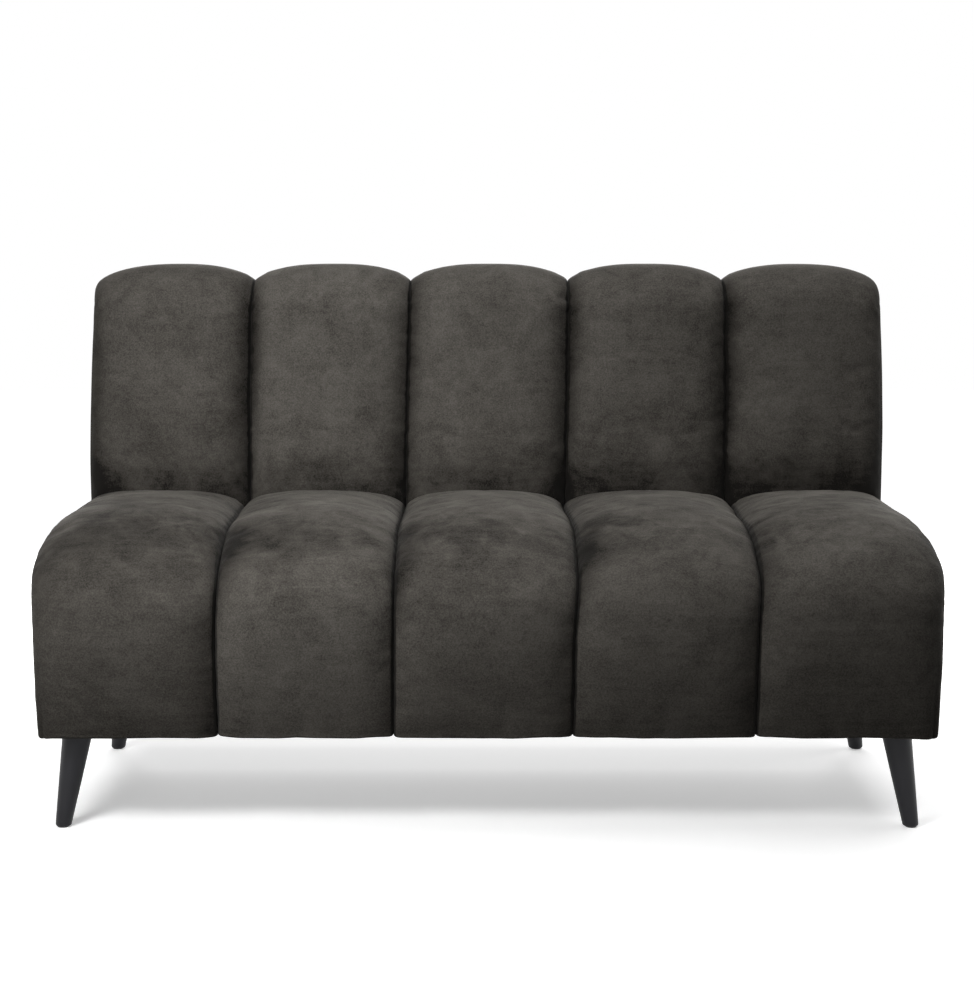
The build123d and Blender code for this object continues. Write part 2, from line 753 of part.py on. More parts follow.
def leg_centre_screws():
    """Screws down through the plates into the legs."""
    return [plane.location * screw(LEG_SCREW, LEG_SCREW_LENGTH) for plane in leg_screw_planes()]


def dust_cover():
    """Thin cloth under the frame."""
    rear = back_y(POST_REAR, BASE_HEIGHT)
    cover = block(-FRAME_HALF, FRAME_HALF, FRONT_Y, rear, PLATE_Z, BASE_HEIGHT)
    return cover - plate_screw_holes()


def side_pair(name, piece):
    """Left and right nodes of a piece drawn on the right."""
    return {name.format("left"): mirrored(piece), name.format("right"): piece}


def all_pieces():
    """Every node's name, with its solid or its list of solids."""
    pieces = {
        "seat_front_rail": seat_front_rail(),
        "seat_rear_rail": seat_rear_rail(),
        "corner_blocks": corner_blocks(),
        "seat_frame_dowels": [dowel(base) for base in rail_dowel_bases()],
        "back_top_rail": back_top_rail(),
        "back_tack_rails": back_tack_rails(),
        "back_frame_dowels": [dowel(base) for base in back_dowel_bases()],
        "back_bolts": back_bolts(),
        "back_bolt_washers": back_washers(),
        "back_bolt_nuts": back_nuts(),
        "seat_springs": seat_springs(),
        "spring_clips": spring_clips(),
        "spring_tie_wires": spring_tie_wires(),
        "seat_hessian": seat_hessian(),
        "back_upright_straps": back_upright_straps(),
        "back_level_straps": back_level_straps(),
        "back_hessian": back_hessian(),
        "seat_foam": seat_foam(),
        "seat_front_foam": seat_front_foam(),
        "back_foam": back_foam(),
        "outside_back_panel": outside_back_panel(),
        "dust_cover": dust_cover(),
        "leg_plates": leg_plates(),
        "leg_plate_screws": leg_plate_screws(),
        "leg_centre_screws": leg_centre_screws(),
        "leg_glides": leg_glides(),
    }
    pieces |= side_pair("seat_{}_side_rail", seat_side_rail())
    pieces |= side_pair("seat_{}_cross_rail", seat_cross_rail())
    pieces |= side_pair("seat_{}_side_panel", seat_side_panel())
    pieces |= side_pair("back_{}_side_panel", back_side_panel())
    pieces |= {name: back_post(*span) for name, span in post_spans().items()}
    pieces |= {name: leg(*top) for name, top in leg_tops().items()}
    for index in range(CHANNELS):
        pieces[f"seat_channel_{index + 1}"] = seat_channel(index)
        pieces[f"back_channel_{index + 1}"] = back_channel(index)
    return pieces


def middle_y():
    """Y midway between the seat's foremost crown and the rearmost point of the back's top."""
    radius = min(BACK_REAR_RADIUS, BACK_CROWN + CHANNEL_PAD)
    depth = BACK_THICKNESS - radius
    u = BACK_TOP_U + BACK_CROWN - radius
    rear = SEAT_DEPTH + u * LEAN_SIN + depth * LEAN_COS + radius
    return (rear - SEAT_CROWN) / 2


def main():
    """Write one STEP file for each node."""
    os.makedirs("parts", exist_ok=True)
    to_origin = Pos(0, -middle_y(), 0)
    for name, piece in all_pieces().items():
        solids = piece if isinstance(piece, list) else [piece]
        placed = [solid for item in solids for solid in (to_origin * item).solids()]
        shape = placed[0] if len(placed) == 1 else Compound(children=placed)
        export_step(shape, f"parts/{name}.step")


main()
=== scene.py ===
import math

import bmesh
import bpy
import numpy as np
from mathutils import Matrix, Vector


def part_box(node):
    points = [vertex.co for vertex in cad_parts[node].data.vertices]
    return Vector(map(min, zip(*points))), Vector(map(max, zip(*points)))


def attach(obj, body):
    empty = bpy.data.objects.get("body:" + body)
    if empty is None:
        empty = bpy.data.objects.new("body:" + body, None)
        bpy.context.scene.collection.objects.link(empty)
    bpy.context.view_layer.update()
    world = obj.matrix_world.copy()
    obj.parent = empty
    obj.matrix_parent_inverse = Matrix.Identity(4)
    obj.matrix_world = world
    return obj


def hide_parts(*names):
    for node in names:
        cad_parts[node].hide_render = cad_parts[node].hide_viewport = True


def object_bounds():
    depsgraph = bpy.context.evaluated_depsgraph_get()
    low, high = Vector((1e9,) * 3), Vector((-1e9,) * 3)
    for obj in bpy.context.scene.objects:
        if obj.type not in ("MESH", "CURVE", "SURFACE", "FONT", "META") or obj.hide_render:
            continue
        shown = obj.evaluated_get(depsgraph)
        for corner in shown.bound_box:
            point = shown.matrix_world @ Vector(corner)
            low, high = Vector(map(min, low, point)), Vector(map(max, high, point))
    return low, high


# Looks of an armless two-seat banquette: five velvet channels on the back, five that run over the
# seat and down its front, flat velvet sides and rear, and four black splayed legs.

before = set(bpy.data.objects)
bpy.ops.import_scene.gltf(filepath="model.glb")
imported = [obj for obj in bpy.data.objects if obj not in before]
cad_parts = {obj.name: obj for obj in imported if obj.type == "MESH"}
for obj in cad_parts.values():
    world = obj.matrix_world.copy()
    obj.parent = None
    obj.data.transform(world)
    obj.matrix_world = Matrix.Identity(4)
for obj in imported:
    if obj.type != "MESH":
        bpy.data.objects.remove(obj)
cad_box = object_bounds()

# Sizes of the construction model, in millimetres, on the sewn seams between the channels.
# Y is 0 at the foremost point of the seat's seams.
MM = 0.001
HALF_WIDTH = 685.0
CHANNELS = 5
PITCH = 2 * HALF_WIDTH / CHANNELS
BASE_HEIGHT = 154.0
SEAT_HEIGHT = 456.0
SEAT_DEPTH = 530.0
SEAT_CROWN = 26.0
BACK_CROWN = 27.0
BACK_HEIGHT = 833.0
BACK_THICKNESS = 128.0
BACK_LEAN = math.radians(6.0)
FRONT_RADIUS = 755.0
NOSE_RADIUS = 79.0
NOSE_ANGLE = math.radians(65.0)
SHOULDER_RADIUS = 448.0
BACK_TOP_RADIUS = 63.0
PAD = 26.0
SIDE_PANEL = 12.0
OUTSIDE_BACK = 6.0

# Places that follow from the sizes
LEAN_SIN = math.sin(BACK_LEAN)
LEAN_COS = math.cos(BACK_LEAN)
SHOULDER_Z = SEAT_HEIGHT - SHOULDER_RADIUS
NOSE_Z = SHOULDER_Z + (SHOULDER_RADIUS - NOSE_RADIUS) * math.sin(NOSE_ANGLE)
SHOULDER_Y = NOSE_RADIUS + (SHOULDER_RADIUS - NOSE_RADIUS) * math.cos(NOSE_ANGLE)
BACK_ARC_U = (BACK_HEIGHT - SEAT_HEIGHT - BACK_TOP_RADIUS * (1 - LEAN_SIN)) / LEAN_COS
BACK_TOP_U = BACK_ARC_U + BACK_TOP_RADIUS
POST_REAR = BACK_THICKNESS - OUTSIDE_BACK
SEAM_Y = cad_box[0].y + SEAT_CROWN * MM

# Soft forms of the channels: lengths in millimetres, shares, powers and counts of points and rows
CROWN_ROWS = {"seat": (0, 50, 74, 114, 185), "back": (0, 138)}
CROWN_POWER = {"seat": (3.0, 3.0, 2.7, 2.3, 2.2), "back": (3.0, 3.0)}
LIP_REACH = 46.0
LIP_POINTS = 15
POINTS_ACROSS = 29
END_POINTS = 40
END_SAMPLES = 2000
SOFTEN_ROWS = 9
END_SHAPE = {"seat": (3.0, 2.0), "back": (2.0, 2.5)}
HEM_RADIUS = 4.0
HEM_DROP = 4.0
HEM_CORNER_DROP = 4.5
HEM_CORNER_REACH = 60.0
HEM_CORNER_RADIUS = 8.0
HEM_NOTCH = 2.5
HEM_NOTCH_WIDTH = 3.0
HEM_FLATTEN = 0.5
HEM_FULLNESS = 0.45
HEM_FLATTEN_HEIGHT = 190.0
HEM_SQUARENESS = 2.5
SEAT_REAR_FALL = 6.0
SEAT_FALL_START = 0.35
SEAT_ROLL_LENGTH = 14.0
SEAT_ROLL_DROP = 24.0
SEAT_REST_U = 10.0
SEAT_TUCK = 12.0
SEAT_TUCK_REACH = 26.0
BACK_FOOT_PINCH = 0.26
BACK_FOOT_REACH = 45.0
BACK_REAR_RADIUS = 34.0
BACK_REAR_SEAM_RADIUS = 10.0
BACK_REAR_LEAST_RADIUS = 0.5
BACK_REAR_SPARE = 1.0
ROWS = {
    "seat": {"hem": 6, "front": 44, "nose": 24, "shoulder": 40, "flat": 62, "roll": 9},
    "back": {"rise": 84, "arc": 26, "top": 10, "turn": 12, "rear": 6},
}
TOUCH = 0.4
OUTER_SIDE = {0: -1, CHANNELS - 1: 1}

# Rows of a channel, and the width and depth of the fold at its seams there, in millimetres
FOLDS = {
    "seat": ((0, 30, 52, 74, 110, 140, 185), (5, 6, 9, 13, 20, 38, 48), (5, 8, 11, 13, 14, 18, 21)),
    "back": ((0, 60, 84, 104, 112, 138), (46, 44, 34, 14, 12, 12), (22, 22, 16, 4, 3, 3)),
}

# Rows of a channel, and how far each seam strays sideways from its even place there, in millimetres.
# The first and the last line are the outer ends.
WANDER = {
    "seat": ((0, 41, 63, 82, 134, 157, 185), (
        (0, 0, 0, 0, 0, 0, 0),
        (-0.8, -1.4, 1, 0.5, -5, -10, -10),
        (-6.2, -4.4, -3.8, -3.5, -5, -5, -5),
        (-5.8, -3.6, 2, 2.2, 0.5, -4, -5),
        (0.2, 0.6, 5, 4.4, 5.5, 12, 12),
        (0, 0, 0, 0, 0, 0, 0),
    )),
    "back": ((0, 20, 50, 84, 110, 138), (
        (0, 0, 0, 0, 0, 0),
        (-0.3, -1, -2.4, 1, 3.5, 3.5),
        (-5, -4, -1.6, 2, 3.3, 3),
        (-1, 0, 2.5, 3.6, 4.6, 4),
        (3, 3.6, 5, 3.6, 0.6, 0.5),
        (0, 0, 0, 0, 0, 0),
    )),
}

# Rows of a channel, and how far the left (-1) and the right (1) outer end swell sideways there, in
# millimetres
END_SWELL = {
    "seat": ((0, 19, 31, 50, 62, 71, 80, 91, 103, 118, 135, 160, 185), {
        -1: (5.2, 6.5, 6.6, 7.2, 9.2, 11.6, 14.4, 15.2, 13.6, 14.6, 12, 12, 9),
        1: (9, 9.5, 10.4, 10, 12.2, 14.4, 16.6, 15, 10.4, 9.8, 7.6, 7, 5.5),
    }),
    "back": ((0, 20, 40, 60, 76, 88, 98, 106, 138), {
        -1: (5.6, 6.5, 5.2, 3, 1.2, 0.4, 1.6, 4, 4),
        1: (2.6, 3, 3.8, 2.9, 1.4, 1, 1.8, 2.5, 2),
    }),
}

# Painted shade at some rows, partly standing for crushed pile: beside the left and the right seam, with the
# reach of each in millimetres, at the outer ends, all across (darker low on the back and at the seat's
# hem), and in a band that fades to the right, with its share on each channel. Lift is painted light and
# shade for a whole channel, brushed is how patchy the pile lies at each row, and seam_reach is the half
# width of the painted dark line in the seam, in millimetres.
SHADE_AND_PILE = {
    "seat": {
        "rows": (0, 16, 44, 56, 66, 76, 90, 98, 110, 150, 185),
        "left": (0.05, 0.05, 0.1, 0.26, 0.32, 0.38, 0.37, 0.32, 0.25, 0.15, 0.15),
        "left_reach": (12, 12, 12, 15, 24, 40, 46, 44, 34, 22, 20),
        "right": (0.24, 0.26, 0.26, 0.16, 0.2, 0.24, 0.24, 0.2, 0.16, 0.16, 0.16),
        "right_reach": (40, 40, 40, 16, 14, 14, 14, 14, 14, 14, 14),
        "end": (0.14, 0.16, 0.18, 0.2, 0.22, 0.22, 0.18, 0.14, 0.1, 0.08, 0.08),
        "all": (0.2, 0.1, -0.04, 0, 0, 0, 0, 0, 0, 0, 0),
        "band": (0, 0, 0, 0.1, 0.21, 0.36, 0.36, 0.26, 0.14, 0.12, 0.12),
        "share": (0.85, 1.0, 0.35, 0.15, -0.25),
        "lift": (0.02, -0.1, -0.01, 0.04, 0.05),
        "brushed": (0, 0, 0.02, 0.08, 0.18, 0.38, 0.5, 0.55, 0.6, 0.6, 0.6),
        "seam_reach": (2.1, 2.1, 2.1, 2.2, 2.6, 3.0, 3.2, 3.2, 3.2, 3.0, 3.0),
    },
    "back": {
        "rows": (0, 14, 26, 60, 88, 102, 112, 138),
        "left": (0.1, 0.14, 0.26, 0.5, 0.54, 0.36, 0.16, 0.1),
        "left_reach": (10, 10, 13, 19, 22, 18, 12, 12),
        "right": (0.26, 0.3, 0.34, 0.34, 0.3, 0.22, 0.12, 0.1),
        "right_reach": (30, 30, 30, 28, 24, 18, 12, 12),
        "end": (0.3, 0.34, 0.36, 0.36, 0.36, 0.26, 0.12, 0.05),
        "all": (0.3, 0.26, 0.02, -0.1, -0.07, 0, 0, 0),
        "band": (0.1, 0.1, 0, 0, -0.02, -0.06, -0.07, -0.07),
        "share": (0.6, 0.4, 0.4, 0.6, 2.0),
        "lift": (0.0, -0.06, -0.01, 0.03, 0.07),
        "brushed": (0.5, 0.4, 0.2, 0.06, 0.1, 0.2, 0.3, 0.3),
        "seam_reach": (2.1, 2.1, 2.1, 2.1, 2.1, 2.1, 2.1, 2.1),
    },
}
# How far the painted band fades to the right, the strength of the painted dark line in the seams, and the
# reach of the painted shade at an outer end, in millimetres
BAND_FADE = 0.6
SEAM_SHADE = {"seat": 1.1, "back": 0.9}
END_REACH = 24.0

# The velvet's noises: scale per metre, detail, roughness and distortion
VELVET_NOISES = {
    "patches": (6.5, 3, 0.55, 1.2),
    "smudges": (24, 4, 0.6, 0.9),
    "mottle": (75, 4, 0.65, 0.4),
    "grain": (400, 3, 0.65),
    "pile": (1500, 2, 0.6),
}
STREAK_STRETCH = (11, 90, 90)

# Weights of the noises in the velvet's shade: everywhere, in its nap, where it is brushed, at the ragged
# edge of the painted shade, and in its fine relief. Where shade is painted, partly standing for crushed
# pile, the nap weakens, down to a least share.
SHADE_WEIGHTS = {"patches": 0.45, "smudges": 0.32, "mottle": 0.25, "streaks": 0.3}
NAP_WEIGHTS = {"grain": 1.1, "pile": 0.7}
BRUSHED_WEIGHTS = {"patches": 1.2, "smudges": 1.4, "mottle": 0.25}
RAGGED_WEIGHTS = {"smudges": 1.2, "mottle": 0.8}
RELIEF_WEIGHTS = {"pile": 0.6, "grain": 0.5, "mottle": 0.3}
NAP_LOSS = 1.6
NAP_LEAST = 0.35
# Colours of the velvet by its shade value; the darkest stops are reached where shade is painted, as in the
# seams
VELVET_COLOURS = (
    (0.0, (0.0050, 0.0043, 0.0035)),
    (0.07, (0.0180, 0.0159, 0.0134)),
    (0.5, (0.0680, 0.0625, 0.0548)),
    (1.0, (0.1250, 0.1165, 0.1040)),
)

# Swell of the covers as cloth under a little pressure, held at their edges: grid, pressure, growth,
# frames, most swell in millimetres, width of the average that is taken off it, and the share of it that
# each kind of channel takes
CLOTH_ROWS = 64
CLOTH_COLUMNS = 25
CLOTH_PRESSURE = 4.0
CLOTH_GROWTH = 0.02
CLOTH_FRAMES = 20
CLOTH_CAP = 3.0
CLOTH_SMOOTH = 4
CLOTH_SHARE = {"seat": 0.5, "back": 1.0}

# Puckers beside the seams, slow lumps in the padding and creases at one low corner, in millimetres
SEED = 41
PUCKER = {"seat": 0.4, "back": 1.0}
PUCKER_GROUP_MEAN = 0.35
PUCKER_GROUP_MOST = 1.5
PUCKER_REACH = 20.0
PUCKER_START = 4.0
PUCKER_SLANT = 0.5
PUCKER_LENGTHS = (20, 26, 33, 41, 52)
PUCKER_GROUPS = (140, 210, 330)
LUMP = 0.9
LUMP_LENGTHS = (90, 130, 190)
LUMP_FADE = 60.0
CREASE = 0.9
CREASE_LENGTH = 30.0
CREASE_REACH = 55.0
CREASE_PLACE = (70.0, 70.0)

# Waves of the seat's lower edge: height and length of a radian in millimetres, and the shift in radians
# from channel to channel
HEM_WAVES = ((0.7, 23.0, 1.7), (0.4, 9.5, 2.9))

# Panels, in millimetres
PANEL_EDGE = 1.5
PANEL_PROUD = 1.2
PANEL_EDGE_WIDTH = 9.0
PANEL_SWELL = 3.5
PANEL_SWELL_REACH = 90.0
PANEL_HEM_REACH = 150.0
PANEL_HEM_HEIGHT = 60.0
CORE = PAD + 0.3

# Points of the flat pieces' grids along their two directions, and how much closer they lie at the rim
SEAT_PANEL_GRID = (72, 90)
BACK_PANEL_GRID = (30, 150)
REAR_PANEL_GRID = (90, 120)
SHEET_GRID = (56, 110)
RIM_CROWDING = 0.6
REAR_RIM_CROWDING = 0.5

# Cloth under the frame and the staples that hold it, in millimetres; a staple's bar as places along its
# half length, with the share of its height there
SHEET_SAG = 5.0
SHEET_RIPPLE = 0.5
SHEET_LENGTHS = (70, 110, 170)
STAPLE_INSET = 7.0
STAPLE_STEP = 58.0
STAPLE_LENGTH = 10.0
STAPLE_WIDTH = 1.1
STAPLE_HEIGHT = 0.5
STAPLE_TURN = 0.35
STAPLE_SINK = 0.2
STAPLE_BAR = ((-1, 0.4), (-0.92, 1.0), (0.92, 1.0), (1, 0.4))

# The angle above which an edge is hard
HARD_EDGE = math.radians(50.0)

# Floor and light to the eye and to the object, with the floor's radii in metres
FLOOR_COLOUR = 0.97
FLOOR_BOUNCE = 0.12
FLOOR_GLOW = 0.385
FLOOR_NEAR = 0.7
FLOOR_FAR = 1.4
FLOOR_HALF = 9.0
WORLD_LIGHT = 0.04

# Lamps: place, aim and size in metres, watts and the beam's angle in degrees
LAMPS = {
    "key_light": ((-1.3, -2.0, 2.1), (-0.4, -0.1, 0.5), (0.8, 0.8), 20, 180),
    "near_light": ((-1.0, -1.5, 1.6), (-0.3, -0.1, 0.5), (0.7, 0.7), 5.5, 80),
    "front_light": ((-1.0, -2.1, 1.15), (-0.3, -0.1, 0.45), (0.7, 0.7), 1.8, 80),
    "top_light": ((1.3, 0.0, 3.2), (0.35, 0, 0.4), (2.4, 1.6), 46, 180),
    "side_light": ((2.3, 0.9, 1.0), (0.65, 0.05, 0.4), (1.0, 1.0), 5, 180),
    "rear_light": ((0, 2.4, 1.1), (0, 0, 0.3), (3.0, 1.2), 64, 180),
}

# Camera fitted to the photograph: its width and focal length in pixels, then metres and degrees
PHOTO_WIDTH = 974
PHOTO_FOCAL = 2270
SENSOR_WIDTH = 36.0
CAMERA_AHEAD = 3.382
CAMERA_HEIGHT = 0.9296
CAMERA_TILT = 6.8


def row_frame(x, y, z):
    """Points in the shared frame, in metres."""
    return np.stack([x * MM, y * MM + SEAM_Y, z * MM], axis=-1)


def back_point(depth, u):
    """Y and Z of a point of the back's profile."""
    y = SEAT_DEPTH + u * LEAN_SIN + depth * LEAN_COS
    z = SEAT_HEIGHT + u * LEAN_COS - depth * LEAN_SIN
    return y, z


def back_u(depth, z):
    """Height along the lean of the point at this depth and height above the floor."""
    return (z - SEAT_HEIGHT + depth * LEAN_SIN) / LEAN_COS


def ease(p):
    """Smooth step from 0 to 1."""
    p = np.clip(p, 0, 1)
    return p * p * (3 - 2 * p)


# Meshes


def linked(name, data):
    """New object in the scene."""
    thing = bpy.data.objects.new(name, data)
    bpy.context.scene.collection.objects.link(thing)
    return thing


def new_mesh(name, points, faces):
    """Mesh from points and faces."""
    mesh = bpy.data.meshes.new(name)
    mesh.from_pydata([tuple(p) for p in points], [], faces)
    return mesh


def new_piece(name, points, faces):
    """Smooth mesh object with outward normals, and hard edges where its faces meet at a large angle."""
    mesh = new_mesh(name, points, faces)
    work = bmesh.new()
    work.from_mesh(mesh)
    bmesh.ops.recalc_face_normals(work, faces=work.faces)
    for face in work.faces:
        face.smooth = True
    for edge in work.edges:
        if len(edge.link_faces) == 2 and edge.calc_face_angle() > HARD_EDGE:
            edge.smooth = False
    work.to_mesh(mesh)
    work.free()
    return linked(name, mesh)


def grid_faces(rows, columns, offset=0, closed=False):
    """Quads of a grid of points, closed round its columns if asked."""
    faces = []
    for i in range(rows - 1):
        for j in range(columns if closed else columns - 1):
            k = (j + 1) % columns
            faces.append(
                (offset + i * columns + j, offset + i * columns + k,
                 offset + (i + 1) * columns + k, offset + (i + 1) * columns + j)
            )
    return faces


def tube(name, outer, inner):
    """Closed piece from rings: the outer surface, then the inner points that close each ring."""
    rings = np.concatenate([outer, inner], axis=1)
    rows, columns = rings.shape[:2]
    faces = grid_faces(rows, columns, closed=True)
    faces.append(tuple(range(columns)))
    faces.append(tuple((rows - 1) * columns + j for j in range(columns)))
    return new_piece(name, rings.reshape(-1, 3), faces)


def slab(name, front, rear):
    """Closed piece between two grids of the same shape."""
    rows, columns = front.shape[:2]
    count = rows * columns
    faces = grid_faces(rows, columns) + grid_faces(rows, columns, offset=count)
    rim = list(range(columns))
    rim += [i * columns + columns - 1 for i in range(1, rows)]
    rim += [(rows - 1) * columns + j for j in range(columns - 2, -1, -1)]
    rim += [i * columns for i in range(rows - 2, 0, -1)]
    for a, b in zip(rim, rim[1:] + rim[:1]):
        faces.append((a, b, count + b, count + a))
    points = np.concatenate([front.reshape(-1, 3), rear.reshape(-1, 3)])
    return new_piece(name, points, faces)


def point_layer(piece, name, amounts):
    """A number at each point of a piece, for the velvet's shade."""
    layer = piece.data.attributes.new(name, "FLOAT", "POINT")
    layer.data.foreach_set("value", np.ascontiguousarray(amounts, dtype=np.float32).ravel())


# Channels


def row_count(kind):
    """Number of rows of a channel's cover."""
    return sum(ROWS[kind].values())


def rounded_end(shape):
    """Outer half of an end channel: distance from its middle and height, from crown to side."""
    flatness, roundness = shape
    turn = np.linspace(math.pi / 2, 0, END_SAMPLES)
    x = PITCH / 2 * np.cos(turn) ** (2 / flatness)
    height = (PAD + BACK_CROWN) * np.sin(turn) ** (2 / roundness) - PAD
    length = np.concatenate([[0], np.cumsum(np.hypot(np.diff(x), np.diff(height)))])
    even = np.linspace(0, length[-1], END_POINTS)
    return np.interp(even, length, x), np.interp(even, length, height)


def channel_section(index, kind):
    """Places across one channel from its middle, with the crown's share at each row, the distance
    from the nearest seam and the drop of an outer end."""
    turn = np.linspace(0, math.pi / 2, LIP_POINTS, endpoint=False)
    lip_x = PITCH / 2 - LIP_REACH * (1 - np.cos(turn))
    middle = np.linspace(-1, 1, POINTS_ACROSS) * (PITCH / 2 - LIP_REACH)
    x = np.concatenate([-lip_x, middle, lip_x[::-1]])
    rows = row_count(kind)
    power = between(rows, CROWN_ROWS[kind], CROWN_POWER[kind])[:, None]
    share = 1 - (np.abs(x) / (PITCH / 2)) ** power
    from_seam = PITCH / 2 - np.abs(x)
    drop = np.zeros(x.shape)
    outer = OUTER_SIDE.get(index)
    if outer:
        end_x, end_height = rounded_end(END_SHAPE[kind])
        keep = x < 0
        x = np.concatenate([x[keep], end_x])
        end_share = np.tile(np.maximum(end_height, 0) / BACK_CROWN, (rows, 1))
        share = np.concatenate([share[:, keep], end_share], axis=1)
        from_seam = PITCH / 2 + x
        drop = np.concatenate([drop[keep], np.maximum(-end_height, 0)])
    if outer == -1:
        x, share, from_seam, drop = -x[::-1], share[:, ::-1], from_seam[::-1], drop[::-1]
    return x, share, from_seam, drop


def window(width):
    """Weights of a moving average that reaches so far to each side."""
    weights = np.hanning(2 * width + 3)[1:-1]
    return weights / weights.sum()


def between(rows, places, values):
    """Value at each row, on a softened line through the values at some rows."""
    line = np.interp(np.arange(-SOFTEN_ROWS, rows + SOFTEN_ROWS), places, values)
    return np.convolve(line, window(SOFTEN_ROWS), "valid")


def folds(kind, from_seam):
    """Depth of the fold into the seams at each row and column: a quarter of an ellipse."""
    places, widths, depths = FOLDS[kind]
    rows = row_count(kind)
    width = between(rows, places, widths)[:, None]
    depth = between(rows, places, depths)[:, None]
    near = np.clip(1 - from_seam / width, 0, 1)
    return depth * (1 - np.sqrt(1 - near**2))


def placed_across(index, x, rows, kind):
    """X of each point of a channel: its even place, the stray of its seams and its outer end's swell."""
    places, table = WANDER[kind]
    left = between(rows, places, table[index])[:, None]
    right = between(rows, places, table[index + 1])[:, None]
    share = np.clip(x / PITCH + 0.5, 0, 1)
    middle = -HALF_WIDTH + (index + 0.5) * PITCH
    placed = middle + x + left * (1 - share) + right * share
    out = OUTER_SIDE.get(index)
    if out:
        places, swell = END_SWELL[kind]
        beyond = np.clip(out * x, 0, None) / (PITCH / 2)
        placed = placed + out * between(rows, places, swell[out])[:, None] * beyond
    return placed


def inner_edges(index):
    """Right and left place of a channel's inner face, from its middle."""
    outer = OUTER_SIDE.get(index)
    return np.array([PITCH / 2 - SIDE_PANEL * (outer == 1), SIDE_PANEL * (outer == -1) - PITCH / 2])


def seat_rows(crown, drop, fold, rear, roll_drop, hem_crown, base):
    """Y and Z grids of the seat's surface, from under the front edge to the back."""
    counts = ROWS["seat"]
    hem_rise = hem_crown - PAD * (drop / PAD) ** HEM_SQUARENESS
    share = np.clip(crown / SEAT_CROWN, 0, 1)
    flat_end = rear - SEAT_ROLL_LENGTH
    ys, zs = [], []

    def add(y, z):
        ys.append(np.broadcast_to(y, drop.shape).copy())
        zs.append(np.broadcast_to(z, drop.shape).copy())

    def raised(level):
        return level + crown[len(ys)] - drop - fold[len(ys)]

    front = FRONT_RADIUS + hem_rise - fold[0]
    start = np.arcsin((NOSE_Z - base - HEM_RADIUS) / front)
    hem_y = FRONT_RADIUS - front * np.cos(start)
    for p in np.linspace(0, 1, counts["hem"], endpoint=False):
        turn = p * math.pi / 2
        add(hem_y + HEM_RADIUS * (1 - math.sin(turn)), base + HEM_RADIUS * (1 - math.cos(turn)))
    for p in np.linspace(0, 1, counts["front"], endpoint=False):
        turn = start * (1 - p)
        full = ease(p * (NOSE_Z - BASE_HEIGHT) / HEM_FLATTEN_HEIGHT)
        rise = crown[len(ys)] - drop
        front = FRONT_RADIUS + hem_rise + (rise - hem_rise) * full - fold[len(ys)]
        add(FRONT_RADIUS - front * np.cos(turn), NOSE_Z - front * np.sin(turn))
    for p in np.linspace(0, 1, counts["nose"], endpoint=False):
        turn = p * NOSE_ANGLE
        radius = raised(NOSE_RADIUS)
        add(NOSE_RADIUS - radius * math.cos(turn), NOSE_Z + radius * math.sin(turn))
    for p in np.linspace(0, 1, counts["shoulder"], endpoint=False):
        turn = NOSE_ANGLE + p * (math.pi / 2 - NOSE_ANGLE)
        radius = raised(SHOULDER_RADIUS)
        add(SHOULDER_Y - radius * math.cos(turn), SHOULDER_Z + radius * math.sin(turn))
    for p in np.linspace(0, 1, counts["flat"], endpoint=False):
        fall = SEAT_REAR_FALL * share[len(ys)] * ease((p - SEAT_FALL_START) / (1 - SEAT_FALL_START))
        add(SHOULDER_Y + p * (flat_end - SHOULDER_Y), raised(SEAT_HEIGHT) - fall)
    for p in np.linspace(0, 1, counts["roll"]):
        turn = p * math.pi / 2
        top = raised(SEAT_HEIGHT) - SEAT_REAR_FALL * share[len(ys)]
        add(flat_end + SEAT_ROLL_LENGTH * math.sin(turn), top - roll_drop * (1 - math.cos(turn)))
    return np.array(ys), np.array(zs)


def back_rows(crown, drop, fold):
    """Y and Z grids of the back's surface, from behind the seat, up and over to the rear edge."""
    counts = ROWS["back"]
    share = crown / BACK_CROWN
    depths, us = [], []

    def add(depth, u):
        depths.append(np.broadcast_to(depth, drop.shape).copy())
        us.append(np.broadcast_to(u, drop.shape).copy())

    low = -PAD
    for p in np.linspace(0, 1, counts["rise"], endpoint=False):
        u = low + p * (BACK_ARC_U - low)
        pinch = 1 - BACK_FOOT_PINCH * math.exp(-max(u, 0) / BACK_FOOT_REACH)
        add(drop + fold[len(us)] - crown[len(us)] * pinch, u)
    for p in np.linspace(0, 1, counts["arc"], endpoint=False):
        turn = p * math.pi / 2
        radius = BACK_TOP_RADIUS + crown[len(us)] - drop - fold[len(us)]
        add(BACK_TOP_RADIUS - radius * math.cos(turn), BACK_ARC_U + radius * math.sin(turn))
    rise = crown[len(us)] - drop - fold[len(us)]
    radius = BACK_REAR_SEAM_RADIUS + (BACK_REAR_RADIUS - BACK_REAR_SEAM_RADIUS) * share[len(us)]
    radius = np.clip(np.minimum(radius, rise + PAD - BACK_REAR_SPARE), BACK_REAR_LEAST_RADIUS, None)
    turn_depth = BACK_THICKNESS - radius
    for p in np.linspace(0, 1, counts["top"], endpoint=False):
        add(BACK_TOP_RADIUS + p * (turn_depth - BACK_TOP_RADIUS), BACK_TOP_U + rise)
    turn_u = BACK_TOP_U + rise - radius
    for p in np.linspace(0, 1, counts["turn"], endpoint=False):
        turn = p * math.pi / 2
        add(turn_depth + radius * math.sin(turn), turn_u + radius * math.cos(turn))
    end_u = BACK_TOP_U - PAD
    for p in np.linspace(0, 1, counts["rear"]):
        add(BACK_THICKNESS, turn_u + p * (end_u - turn_u))
    return back_point(np.array(depths), np.array(us))


